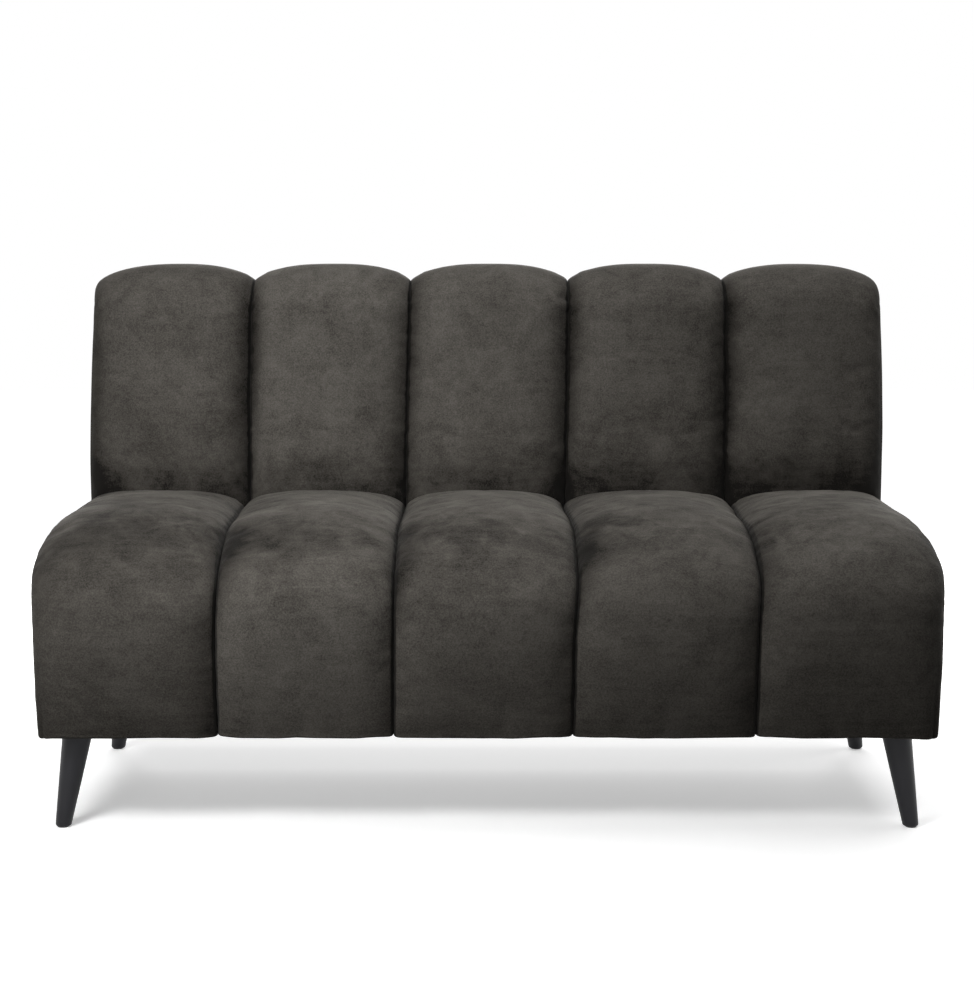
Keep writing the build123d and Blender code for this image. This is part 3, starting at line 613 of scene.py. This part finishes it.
def hem_base(index, x):
    """Height of a seat channel's lower edge: notched at the seams, low and rounded at an outer corner."""
    from_seam = PITCH / 2 - np.abs(x)
    outwards = OUTER_SIDE.get(index, 0) * x
    notch = HEM_NOTCH * np.exp(-from_seam / HEM_NOTCH_WIDTH) * (outwards <= 0)
    low = HEM_CORNER_DROP * ease((outwards - PITCH / 2 + HEM_CORNER_REACH) / HEM_CORNER_REACH)
    near = np.clip((outwards - PITCH / 2 + HEM_CORNER_RADIUS) / HEM_CORNER_RADIUS, 0, 1)
    corner = HEM_CORNER_RADIUS * (1 - np.sqrt(1 - near**2))
    wave = sum(size * np.sin(x / length + index * start) for size, length, start in HEM_WAVES)
    return BASE_HEIGHT - HEM_DROP + notch - low + corner + wave * (1 - near)


def painted_shade_and_crushing(index, kind, x):
    """Painted shade at each point of a channel, partly standing for crushed pile: in and beside its seams,
    at an outer end, on the seat's shoulder and low on the back."""
    table = SHADE_AND_PILE[kind]

    def by_row(name):
        return between(row_count(kind), table["rows"], table[name])[:, None]

    def near(away, reach):
        return np.exp(-((away / reach) ** 2))

    # Painted light and shade across each row and over the whole channel
    total = by_row("all") + table["lift"][index]
    # Painted shade beside each inner seam, with a painted dark line in it, and at an outer end
    for name, away, outer in (("left", PITCH / 2 + x, -1), ("right", PITCH / 2 - x, 1)):
        if OUTER_SIDE.get(index) != outer:
            total = total + by_row(name) * near(away, by_row(f"{name}_reach"))
            total = total + SEAM_SHADE[kind] * near(away, by_row("seam_reach"))
        else:
            total = total + by_row("end") * near(away, END_REACH)
    # A painted band of shade that fades to the right
    fade = 1 - BAND_FADE * ease(x / PITCH + 0.5)
    return total + by_row("band") * table["share"][index] * fade


def seat_cover(index):
    """One seat channel: its kind, number, outer and inner points and places across."""
    x, share, from_seam, drop = channel_section(index, "seat")
    back_fold = folds("back", from_seam)[0]
    tuck = SEAT_TUCK * np.exp(-((from_seam / SEAT_TUCK_REACH) ** 2))
    rear = back_point(drop + back_fold - BACK_CROWN * share[0], SEAT_REST_U)[0] - TOUCH + tuck
    hem_crown = SEAT_CROWN * HEM_FLATTEN * share[0] ** HEM_FULLNESS
    fold = folds("seat", from_seam)
    y, z = seat_rows(SEAT_CROWN * share, drop, fold, rear, SEAT_ROLL_DROP, hem_crown, hem_base(index, x))
    outer = row_frame(placed_across(index, x, len(y), "seat"), y, z)
    none = np.zeros(2)
    flat = np.zeros((len(y), 2))
    y, z = seat_rows(flat, none + PAD, flat, back_point(none, 0.0)[0], 0.0, none, BASE_HEIGHT - HEM_DROP)
    inner = row_frame(placed_across(index, inner_edges(index), len(y), "seat"), y, z)
    return "seat", index, outer, inner, x


def back_cover(index):
    """One back channel: its kind, number, outer and inner points and places across."""
    x, share, from_seam, drop = channel_section(index, "back")
    y, z = back_rows(BACK_CROWN * share, drop, folds("back", from_seam))
    outer = row_frame(placed_across(index, x, len(y), "back"), y, z)
    none = np.zeros(2)
    flat = np.zeros((len(y), 2))
    y, z = back_rows(flat, none + PAD, flat)
    inner = row_frame(placed_across(index, inner_edges(index), len(y), "back"), y, z)
    return "back", index, outer, inner, x


# Swell, puckers, lumps and creases of the covers


def outward(grid):
    """Unit normals of a grid of points, out of the channel."""
    normal = np.cross(np.gradient(grid, axis=1), np.gradient(grid, axis=0))
    return normal / np.linalg.norm(normal, axis=-1, keepdims=True)


def picked(count, wanted):
    """Evenly spread places of a row of points, both ends among them."""
    return np.linspace(0, count - 1, wanted).round().astype(int)


def refined(values, rows, columns, shape):
    """Values at some rows and columns of a grid, spread over the whole grid."""
    wide = np.array([np.interp(np.arange(shape[1]), columns, line) for line in values])
    return np.array([np.interp(np.arange(shape[0]), rows, line) for line in wide.T]).T


def smoothed(values, width):
    """Moving average of a grid along both of its directions."""
    for axis in (0, 1):
        edge = [(width, width) if k == axis else (0, 0) for k in (0, 1)]
        spare = np.pad(values, edge, mode="edge")
        values = np.apply_along_axis(np.convolve, axis, spare, window(width), "valid")
    return values


def cloth_copy(name, points):
    """Copy of a cover's face as cloth, held at its edges."""
    rows, columns = points.shape[:2]
    copy = linked(name, new_mesh(name, points.reshape(-1, 3), grid_faces(rows, columns)))
    edge = np.ones((rows, columns), bool)
    edge[1:-1, 1:-1] = False
    copy.vertex_groups.new(name="held").add([int(i) for i in np.flatnonzero(edge)], 1.0, "REPLACE")
    cloth = copy.modifiers.new("cloth", "CLOTH")
    cloth.settings.vertex_group_mass = "held"
    cloth.settings.use_pressure = True
    cloth.settings.uniform_pressure_force = CLOTH_PRESSURE
    cloth.settings.shrink_min = -CLOTH_GROWTH
    cloth.settings.effector_weights.gravity = 0
    cloth.collision_settings.use_collision = False
    cloth.point_cache.frame_end = CLOTH_FRAMES
    return copy


def cloth_swell(covers):
    """How far each cover's points move outwards, in metres, when the covers are let go as cloth."""
    copies = []
    for kind, index, outer, _, _ in covers:
        rows, columns = picked(outer.shape[0], CLOTH_ROWS), picked(outer.shape[1], CLOTH_COLUMNS)
        points = outer[np.ix_(rows, columns)]
        copy = cloth_copy(f"{kind}_{index + 1}_cloth", points)
        copies.append((copy, rows, columns, points, outer.shape[:2]))
    for step in range(1, CLOTH_FRAMES + 1):
        bpy.context.scene.frame_set(step)
    graph = bpy.context.evaluated_depsgraph_get()
    moves = []
    for copy, rows, columns, points, shape in copies:
        mesh = copy.evaluated_get(graph).data
        places = np.empty(3 * len(mesh.vertices))
        mesh.vertices.foreach_get("co", places)
        move = ((places.reshape(points.shape) - points) * outward(points)).sum(axis=-1)
        move = move - smoothed(move, CLOTH_SMOOTH)
        cap = CLOTH_CAP * MM
        moves.append(refined(cap * np.tanh(move / cap), rows, columns, shape))
    for copy, *_ in copies:
        bpy.data.objects.remove(copy, do_unlink=True)
    bpy.context.scene.frame_set(1)
    return moves


def waves(draw, places, lengths):
    """Seeded sum of waves of several lengths, about 1 high."""
    total = np.zeros(np.shape(places))
    for length in lengths:
        total = total + draw.normal() * np.sin(2 * math.pi * (places / length + draw.uniform()))
    return total / math.sqrt(len(lengths))


def corner_creases(along, to_end):
    """Slanting creases round a place above the hem and in from the outer end, in millimetres."""
    up, across = along - CREASE_PLACE[0], to_end - CREASE_PLACE[1]
    near = np.exp(-(up**2 + across**2) / CREASE_REACH**2)
    return CREASE * near * np.sin(2 * math.pi * (up + across) / (math.sqrt(2) * CREASE_LENGTH))


def unevenness(kind, index, outer, x, seed):
    """Puckers beside the seams, slow lumps and one corner's creases of a cover, in metres outwards."""
    draw = np.random.default_rng(seed)
    middle = outer[:, outer.shape[1] // 2]
    along = np.concatenate([[0], np.cumsum(np.linalg.norm(np.diff(middle, axis=0), axis=1))]) / MM
    along = along[:, None]
    total = LUMP * waves(draw, along, LUMP_LENGTHS) * waves(draw, x[None, :] + 0 * along, LUMP_LENGTHS)
    total = total * np.sin(math.pi * np.linspace(0, 1, len(along)))[:, None]
    to_end = PITCH / 2 - OUTER_SIDE.get(index, 0) * x
    total = total * ease(to_end / LUMP_FADE)
    for outer_side, away in ((-1, PITCH / 2 + x), (1, PITCH / 2 - x)):
        if OUTER_SIDE.get(index) != outer_side:
            group = PUCKER_GROUP_MEAN + waves(draw, along, PUCKER_GROUPS)
            group = np.clip(group, 0, PUCKER_GROUP_MOST)
            ripple = waves(draw, along + PUCKER_SLANT * away, PUCKER_LENGTHS)
            near = np.exp(-away / PUCKER_REACH) * (1 - np.exp(-away / PUCKER_START))
            total = total + PUCKER[kind] * group * ripple * near
    if kind == "seat" and index == 0:
        total = total + corner_creases(along, to_end)
    return total * MM


def channels():
    """All ten channels' pieces, as (piece, node)."""
    covers = [cover(i) for i in range(CHANNELS) for cover in (seat_cover, back_cover)]
    moves = cloth_swell(covers)
    pieces = []
    for number, (cover, move) in enumerate(zip(covers, moves)):
        kind, index, outer, inner, x = cover
        name = f"{kind}_channel_{index + 1}"
        move = move * CLOTH_SHARE[kind] + unevenness(kind, index, outer, x, SEED + number)
        piece = tube(f"{name}_cover", outer + outward(outer) * move[..., None], inner)
        # Painted shade, partly standing for crushed pile, and how patchy the pile lies, kept at each point
        # for the velvet
        shade_and_crushing = np.pad(painted_shade_and_crushing(index, kind, x), ((0, 0), (0, 2)))
        brushed = between(len(outer), SHADE_AND_PILE[kind]["rows"], SHADE_AND_PILE[kind]["brushed"])
        point_layer(piece, "shade_and_crushing", shade_and_crushing)
        point_layer(piece, "brushed", np.repeat(brushed, shade_and_crushing.shape[1]))
        pieces.append((piece, name))
    return pieces


# Flat panels


def spaced(count, edge):
    """Places from -1 to 1, closer together at both ends."""
    even = np.linspace(-1, 1, count)
    return (1 - edge) * even + edge * np.sin(even * math.pi / 2)


def shares(count):
    """Places from 0 to 1, closer together at both ends."""
    return (spaced(count, RIM_CROWDING) + 1) / 2


def edge_distance(a, b, outline):
    """Distance of each point of a grid from the nearest point of an outline."""
    points = np.stack([a, b], axis=-1).reshape(-1, 1, 2)
    return np.linalg.norm(points - outline.reshape(1, -1, 2), axis=2).min(axis=1).reshape(a.shape)


def rim_of(a, b):
    """Points on the border of a grid."""
    pairs = [(a[0], b[0]), (a[-1], b[-1]), (a[:, 0], b[:, 0]), (a[:, -1], b[:, -1])]
    return np.concatenate([np.stack(pair, axis=-1) for pair in pairs])


def panel_relief(a, b):
    """How far a padded panel stands out from its flat face: falling at the rim, full in the middle."""
    away = edge_distance(a, b, rim_of(a, b))
    fall = PANEL_EDGE * (1 - np.clip(away / PANEL_EDGE_WIDTH, 0, 1)) ** 2
    return PANEL_PROUD + PANEL_SWELL * (1 - np.exp(-away / PANEL_SWELL_REACH)) - fall


def seat_front(z):
    """Y of the seat's profile under the channels at a height."""
    if z <= NOSE_Z:
        return FRONT_RADIUS - math.sqrt((FRONT_RADIUS - CORE) ** 2 - (NOSE_Z - z) ** 2)
    radius = NOSE_RADIUS - CORE
    if z <= NOSE_Z + radius * math.sin(NOSE_ANGLE):
        return NOSE_RADIUS - math.sqrt(radius**2 - (z - NOSE_Z) ** 2)
    radius = SHOULDER_RADIUS - CORE
    return SHOULDER_Y - math.sqrt(max(radius**2 - (z - SHOULDER_Z) ** 2, 0))


def side_slab(name, side, y, z, relief):
    """Side cover through a grid of places, standing out by its relief."""
    inner = np.full(y.shape, side * (HALF_WIDTH - SIDE_PANEL))
    return slab(name, row_frame(side * (HALF_WIDTH + relief), y, z), row_frame(inner, y, z))


def seat_side_panel(name, side):
    """Flat cover over one side of the seat."""
    top = SEAT_HEIGHT - CORE
    base = BASE_HEIGHT - HEM_DROP
    rows, columns = SEAT_PANEL_GRID
    levels = base + (top - base) * np.sin(np.linspace(0, math.pi / 2, rows))
    share = shares(columns)
    y, z = [], []
    for level in levels:
        rear = back_point(CORE, back_u(CORE, level))[0]
        front = seat_front(level)
        y.append(front + share * (rear - front))
        low = HEM_CORNER_DROP * (1 - ease(share * (rear - front) / PANEL_HEM_REACH))
        z.append(level - low * max(1 - (level - base) / PANEL_HEM_HEIGHT, 0))
    y, z = np.array(y), np.array(z)
    return side_slab(name, side, y, z, panel_relief(y, z))


def back_side_panel(name, side):
    """Flat cover over one side of the back, down to the underside."""
    radius = BACK_TOP_RADIUS - CORE
    rows, columns = BACK_PANEL_GRID
    share = shares(columns)
    depths, us = [], []
    for depth in CORE + (POST_REAR - CORE) * shares(rows):
        low = back_u(depth, BASE_HEIGHT - HEM_DROP)
        ahead = max(BACK_TOP_RADIUS - depth, 0)
        top = BACK_ARC_U + math.sqrt(max(radius**2 - ahead**2, 0))
        us.append(low + share * (top - low))
        depths.append(np.full(share.shape, depth))
    depths, us = np.array(depths), np.array(us)
    return side_slab(name, side, *back_point(depths, us), panel_relief(depths, us))


def outside_back():
    """Flat cover over the rear."""
    rows, columns = REAR_PANEL_GRID
    x, u = np.meshgrid(HALF_WIDTH * spaced(columns, REAR_RIM_CROWDING), shares(rows))
    low = back_u(BACK_THICKNESS, BASE_HEIGHT - HEM_DROP)
    u = low + u * (BACK_TOP_U - CORE - low)
    depth = BACK_THICKNESS + panel_relief(x, u) - PANEL_PROUD
    outer = row_frame(x, *back_point(depth, u))
    inner = row_frame(x, *back_point(np.full(u.shape, POST_REAR), u))
    return slab("outside_back_cover", outer, inner)


# Cloth under the frame


def dust_sheet():
    """Thin cloth stretched under the frame: it sags a little and ripples between its staples."""
    low, high = (np.array(corner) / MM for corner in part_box("dust_cover"))
    rows, columns = SHEET_GRID
    across, along = np.meshgrid(np.linspace(-1, 1, columns), np.linspace(-1, 1, rows))
    draw = np.random.default_rng(SEED)
    x = (low[0] + high[0]) / 2 + across * (high[0] - low[0]) / 2
    y = (low[1] + high[1]) / 2 + along * (high[1] - low[1]) / 2
    free = ((1 - across**4) * (1 - along**4)) ** 2
    ripple = waves(draw, x, SHEET_LENGTHS) * waves(draw, y, SHEET_LENGTHS)
    sag = free * (SHEET_SAG + SHEET_RIPPLE * ripple)
    under = np.stack([x, y, low[2] - sag], axis=-1) * MM
    over = np.stack([x, y, high[2] - sag], axis=-1) * MM
    return slab("dust_cover_cloth", under, over)


def staples():
    """Wire staples round the edge of the cloth under the frame, each at its own slight angle."""
    low, high = (np.array(corner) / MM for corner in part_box("dust_cover"))
    middle, half = (low + high) / 2, (high - low) / 2 - STAPLE_INSET
    draw = np.random.default_rng(SEED + 1)
    spots = []
    for axis, other in ((0, 1), (1, 0)):
        count = int(2 * half[axis] / STAPLE_STEP)
        for place in (np.arange(count) + 0.5) / count * 2 - 1:
            for side in (-1, 1):
                spot = np.zeros(3)
                spot[axis] = middle[axis] + place * half[axis]
                spot[other] = middle[other] + side * half[other]
                spots.append((spot, axis * math.pi / 2))
    points, faces = [], []
    for spot, turn in spots:
        turn = turn + draw.uniform(-STAPLE_TURN, STAPLE_TURN)
        way = np.array([math.cos(turn), math.sin(turn), 0])
        side = np.array([-way[1], way[0], 0])
        start = len(points)
        for length, depth in STAPLE_BAR:
            for width, drop in ((-1, 0), (1, 0), (1, depth), (-1, depth)):
                point = spot + way * length * STAPLE_LENGTH / 2 + side * width * STAPLE_WIDTH / 2
                point[2] = low[2] + STAPLE_SINK - drop * STAPLE_HEIGHT
                points.append(point * MM)
        faces += grid_faces(len(STAPLE_BAR), 4, offset=start, closed=True)
        faces.append(tuple(start + k for k in range(4)))
        faces.append(tuple(start + 4 * (len(STAPLE_BAR) - 1) + k for k in range(4)))
    return new_piece("dust_cover_staples", points, faces)


# Materials


def new_material(name):
    """Node material with its tree and its main shader."""
    material = bpy.data.materials.new(name)
    material.use_nodes = True
    tree = material.node_tree
    return material, tree, tree.nodes["Principled BSDF"]


def set_values(node, **values):
    """Constant values of a node, set on its own sockets."""
    for name, value in values.items():
        node.inputs[name.replace("_", " ")].default_value = value


def coordinates(tree, scale=(1, 1, 1)):
    """Object coordinates, stretched along the axes."""
    place = tree.nodes.new("ShaderNodeTexCoord")
    mapping = tree.nodes.new("ShaderNodeMapping")
    set_values(mapping, Scale=scale)
    tree.links.new(place.outputs["Object"], mapping.inputs["Vector"])
    return mapping.outputs["Vector"]


def noise(tree, vector, scale, detail=3.0, rough=0.55, distortion=0.0):
    """Noise value at a scale per metre."""
    node = tree.nodes.new("ShaderNodeTexNoise")
    set_values(node, Scale=scale, Detail=detail, Roughness=rough, Distortion=distortion)
    tree.links.new(vector, node.inputs["Vector"])
    return node.outputs[0]


def math_node(tree, operation, *values):
    """One arithmetic node; each value is a number or a socket."""
    node = tree.nodes.new("ShaderNodeMath")
    node.operation = operation
    for place, value in zip(node.inputs, values):
        if isinstance(value, (int, float)):
            place.default_value = value
        else:
            tree.links.new(value, place)
    return node.outputs[0]


def weighted(tree, start, parts):
    """Start plus each part's swing about its middle, times its weight."""
    total = start
    for value, weight in parts:
        swing = math_node(tree, "SUBTRACT", value, 0.5)
        total = math_node(tree, "MULTIPLY_ADD", swing, weight, total)
    return total


def ramp(tree, value, stops):
    """Colour ramp through (place, colour) stops."""
    node = tree.nodes.new("ShaderNodeValToRGB")
    elements = node.color_ramp.elements
    while len(elements) < len(stops):
        elements.new(0.5)
    for element, (place, colour) in zip(elements, stops):
        element.position = place
        element.color = (*colour, 1)
    tree.links.new(value, node.inputs[0])
    return node.outputs["Color"]


def bump(tree, shader, height, strength, distance):
    """Fine relief on a shader."""
    node = tree.nodes.new("ShaderNodeBump")
    set_values(node, Strength=strength, Distance=distance)
    tree.links.new(height, node.inputs["Height"])
    tree.links.new(node.outputs["Normal"], shader.inputs["Normal"])


def attribute(tree, name):
    """A number that the mesh holds at each of its points."""
    node = tree.nodes.new("ShaderNodeAttribute")
    node.attribute_name = name
    return node.outputs["Fac"]


def velvet():
    """Short-pile velvet: brushed patches, mottling, faint level streaks, a fine nap, and painted shade,
    partly standing for crushed pile, at the seams, the ends, low down and on the seat's shoulder."""
    material, tree, shader = new_material("velvet")
    place = coordinates(tree)
    noises = {name: noise(tree, place, *values) for name, values in VELVET_NOISES.items()}
    noises["streaks"] = noise(tree, coordinates(tree, STREAK_STRETCH), 1, 4, 0.6)
    shade_and_crushing, brushed = attribute(tree, "shade_and_crushing"), attribute(tree, "brushed")

    def mixed(start, weights):
        return weighted(tree, start, [(noises[name], weight) for name, weight in weights.items()])

    shade = mixed(0.5, SHADE_WEIGHTS)
    # Painted shade from the mesh weakens the nap and darkens the colour, with ragged edges
    upright = math_node(tree, "MULTIPLY_ADD", shade_and_crushing, -NAP_LOSS, 1.0)
    upright = math_node(tree, "MAXIMUM", upright, NAP_LEAST)
    shade = math_node(tree, "MULTIPLY_ADD", mixed(0.0, NAP_WEIGHTS), upright, shade)
    shade = math_node(tree, "MULTIPLY_ADD", brushed, mixed(0.0, BRUSHED_WEIGHTS), shade)
    ragged = math_node(tree, "MAXIMUM", mixed(1.0, RAGGED_WEIGHTS), 0.0)
    shade = math_node(tree, "SUBTRACT", shade, math_node(tree, "MULTIPLY", shade_and_crushing, ragged))
    tree.links.new(ramp(tree, shade, VELVET_COLOURS), shader.inputs["Base Color"])
    set_values(shader, Roughness=0.9, Specular_IOR_Level=0.12, Sheen_Weight=0.08, Sheen_Roughness=0.4,
               Sheen_Tint=(1.0, 0.96, 0.90, 1))
    bump(tree, shader, mixed(0.5, RELIEF_WEIGHTS), 0.35, 0.0007)
    return material


def satin_black():
    """Black lacquer on turned wood: faint grain under a satin coat."""
    material, tree, shader = new_material("leg_black")
    grain = noise(tree, coordinates(tree, (120, 120, 6)), 1, 4, 0.6, 0.4)
    specks = noise(tree, coordinates(tree), 420, 2)
    shade = weighted(tree, 0.5, [(grain, 0.6), (specks, 0.3)])
    colour = ramp(tree, shade, [(0.0, (0.0045, 0.0045, 0.0060)), (1.0, (0.0110, 0.0110, 0.0140))])
    tree.links.new(colour, shader.inputs["Base Color"])
    rough = weighted(tree, 0.48, [(specks, 0.18), (grain, 0.08)])
    tree.links.new(rough, shader.inputs["Roughness"])
    set_values(shader, Specular_IOR_Level=0.3)
    bump(tree, shader, grain, 0.08, 0.0004)
    return material


def mottled(name, dark, light, scale, rough, stretch=(1, 1, 1), relief=0.2, metallic=0.0):
    """Plain material for inner parts: two tones of one colour with grain and relief."""
    material, tree, shader = new_material(name)
    place = coordinates(tree, stretch)
    grain = noise(tree, place, scale, 4, 0.6, 0.3)
    fine = noise(tree, place, scale * 9, 3)
    shade = weighted(tree, 0.5, [(grain, 1.1), (fine, 0.7)])
    tree.links.new(ramp(tree, shade, [(0.1, dark), (0.9, light)]), shader.inputs["Base Color"])
    tree.links.new(weighted(tree, rough, [(fine, 0.2)]), shader.inputs["Roughness"])
    set_values(shader, Metallic=metallic)
    bump(tree, shader, fine, relief, 0.0006)
    return material


def woven(name, dark, light, threads):
    """Woven cloth: crossing threads along the three axes, with uneven thickness."""
    material, tree, shader = new_material(name)
    place = coordinates(tree)
    bands = []
    for axis in ("X", "Y", "Z"):
        wave = tree.nodes.new("ShaderNodeTexWave")
        wave.bands_direction = axis
        set_values(wave, Scale=threads, Distortion=1.2, Detail=2.0)
        tree.links.new(place, wave.inputs["Vector"])
        bands.append(wave.outputs["Fac"])
    weave = math_node(tree, "MULTIPLY", math_node(tree, "MULTIPLY", bands[0], bands[1]), bands[2])
    slubs = noise(tree, place, 120, 4, 0.6)
    shade = weighted(tree, 0.5, [(weave, 0.6), (slubs, 0.8)])
    tree.links.new(ramp(tree, shade, [(0.1, dark), (0.9, light)]), shader.inputs["Base Color"])
    set_values(shader, Roughness=0.85, Sheen_Weight=0.15)
    bump(tree, shader, weave, 0.4, 0.0005)
    return material


MATERIALS = {
    "velvet": velvet(),
    "leg_black": satin_black(),
    "timber": mottled("timber", (0.36, 0.22, 0.11), (0.66, 0.48, 0.29), 14, 0.65, (1, 6, 6)),
    "dowel_beech": mottled("dowel_beech", (0.52, 0.36, 0.21), (0.76, 0.60, 0.42), 40, 0.6, (1, 4, 4)),
    "zinc_steel": mottled("zinc_steel", (0.50, 0.51, 0.53), (0.68, 0.69, 0.71), 60, 0.35, metallic=1.0),
    "spring_steel": mottled("spring_steel", (0.20, 0.20, 0.21), (0.36, 0.36, 0.37), 80, 0.38, metallic=1.0),
    "hessian": woven("hessian", (0.34, 0.24, 0.12), (0.60, 0.46, 0.28), 240),
    "webbing": woven("webbing", (0.06, 0.06, 0.06), (0.17, 0.17, 0.17), 320),
    "foam": mottled("foam", (0.76, 0.70, 0.50), (0.88, 0.84, 0.68), 220, 0.9, relief=0.5),
    "dust_cloth": woven("dust_cloth", (0.012, 0.012, 0.012), (0.034, 0.034, 0.035), 420),
    "glide_plastic": mottled("glide_plastic", (0.020, 0.020, 0.020), (0.042, 0.042, 0.042), 300, 0.45),
}

SLOT_NODES = {
    "leg_black": ["front_left_leg", "front_right_leg", "rear_left_leg", "rear_right_leg"],
    "timber": [
        "seat_front_rail", "seat_rear_rail", "seat_left_side_rail", "seat_right_side_rail",
        "seat_left_cross_rail", "seat_right_cross_rail", "corner_blocks", "back_left_post",
        "back_right_post", "back_left_inner_post", "back_right_inner_post", "back_top_rail",
        "back_tack_rails",
    ],
    "dowel_beech": ["seat_frame_dowels", "back_frame_dowels"],
    "zinc_steel": [
        "back_bolts", "back_bolt_washers", "back_bolt_nuts", "leg_plates", "leg_plate_screws",
        "leg_centre_screws",
    ],
    "spring_steel": ["seat_springs", "spring_clips", "spring_tie_wires"],
    "hessian": ["seat_hessian", "back_hessian"],
    "webbing": ["back_upright_straps", "back_level_straps"],
    "foam": ["seat_foam", "seat_front_foam", "back_foam"],
    "dust_cloth": ["dust_cover"],
    "glide_plastic": ["leg_glides"],
}


def dress_nodes():
    """Better materials on the construction model's own nodes."""
    for slot, names in SLOT_NODES.items():
        for name in names:
            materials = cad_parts[name].data.materials
            materials.clear()
            materials.append(MATERIALS[slot])


def upholster(piece, node):
    """A padded velvet piece that stands for a node."""
    piece.data.materials.append(MATERIALS["velvet"])
    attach(piece, "root")
    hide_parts(node)


def hang_sheets():
    """The cloth under the frame: one shaped sheet and its staples, in place of the construction model's
    dust cover.
    """
    cloth, wires = dust_sheet(), staples()
    for piece, slot in ((cloth, "dust_cloth"), (wires, "zinc_steel")):
        piece.data.materials.append(MATERIALS[slot])
        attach(piece, "root")
    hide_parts("dust_cover")


# Stage


def area_lamp(name, place, aim, size, watts, spread):
    """Soft lamp turned towards a point, its beam limited to an angle in degrees."""
    lamp = bpy.data.lights.new(name, "AREA")
    lamp.shape = "RECTANGLE"
    lamp.size, lamp.size_y = size
    lamp.energy = watts
    lamp.spread = math.radians(spread)
    holder = linked(name, lamp)
    holder.location = place
    way = np.array(aim) - np.array(place)
    flat = math.hypot(way[0], way[1])
    holder.rotation_euler = (math.atan2(flat, -way[2]), 0, math.atan2(way[1], way[0]) - math.pi / 2)


def shows_white(tree):
    """1 for camera, mirror and glass rays, else 0."""
    path = tree.nodes.new("ShaderNodeLightPath")
    either = math_node(tree, "MAXIMUM", path.outputs["Is Camera Ray"], path.outputs["Is Glossy Ray"])
    return math_node(tree, "MAXIMUM", either, path.outputs["Is Transmission Ray"])


def studio_world(light):
    """White to the eye, a plain level of light to the object."""
    world = bpy.data.worlds.new("studio")
    world.use_nodes = True
    tree = world.node_tree
    background = tree.nodes["Background"]
    strength = math_node(tree, "MULTIPLY_ADD", shows_white(tree), 1.0 - light, light)
    tree.links.new(strength, background.inputs["Strength"])
    set_values(background, Color=(1, 1, 1, 1))
    bpy.context.scene.world = world


def floor_material():
    """Pale floor: white in the open, and keeping the object's shadow near it."""
    material, tree, shader = new_material("floor")
    output = tree.nodes["Material Output"]
    tree.nodes.remove(shader)
    diffuse = tree.nodes.new("ShaderNodeBsdfDiffuse")
    seen = shows_white(tree)
    shade = math_node(tree, "MULTIPLY_ADD", seen, FLOOR_COLOUR - FLOOR_BOUNCE, FLOOR_BOUNCE)
    tree.links.new(shade, diffuse.inputs["Color"])
    glow = tree.nodes.new("ShaderNodeEmission")
    set_values(glow, Color=(1, 1, 1, 1))
    place = tree.nodes.new("ShaderNodeTexCoord")
    length = tree.nodes.new("ShaderNodeVectorMath")
    length.operation = "LENGTH"
    tree.links.new(place.outputs["Object"], length.inputs[0])
    spread = tree.nodes.new("ShaderNodeMapRange")
    set_values(spread, From_Min=FLOOR_NEAR, From_Max=FLOOR_FAR, To_Min=FLOOR_GLOW, To_Max=1.0)
    tree.links.new(length.outputs["Value"], spread.inputs["Value"])
    strength = math_node(tree, "MULTIPLY", spread.outputs[0], seen)
    tree.links.new(strength, glow.inputs["Strength"])
    both = tree.nodes.new("ShaderNodeAddShader")
    tree.links.new(diffuse.outputs[0], both.inputs[0])
    tree.links.new(glow.outputs[0], both.inputs[1])
    tree.links.new(both.outputs[0], output.inputs["Surface"])
    return material


def studio():
    """Floor, white surroundings and lamps."""
    half = FLOOR_HALF
    corners = [(-half, -half, 0), (half, -half, 0), (half, half, 0), (-half, half, 0)]
    floor = linked("floor", new_mesh("floor", corners, [(0, 1, 2, 3)]))
    floor.data.materials.append(floor_material())
    studio_world(WORLD_LIGHT)
    for name, values in LAMPS.items():
        area_lamp(name, *values)


def photo_camera():
    """Camera at the photograph's viewing angle."""
    camera = bpy.data.cameras.new("camera")
    camera.sensor_fit = "HORIZONTAL"
    camera.sensor_width = SENSOR_WIDTH
    camera.lens = PHOTO_FOCAL * SENSOR_WIDTH / PHOTO_WIDTH
    holder = linked("camera", camera)
    holder.location = (0, SEAM_Y - CAMERA_AHEAD, CAMERA_HEIGHT)
    holder.rotation_euler = (math.radians(90 - CAMERA_TILT), 0, 0)
    bpy.context.scene.camera = holder


dress_nodes()
for channel, channel_node in channels():
    upholster(channel, channel_node)
for side_name, side in (("left", -1), ("right", 1)):
    node = f"seat_{side_name}_side_panel"
    upholster(seat_side_panel(f"{node}_cover", side), node)
    node = f"back_{side_name}_side_panel"
    upholster(back_side_panel(f"{node}_cover", side), node)
upholster(outside_back(), "outside_back_panel")
hang_sheets()
studio()
photo_camera()
bpy.context.scene.view_settings.view_transform = "Standard"
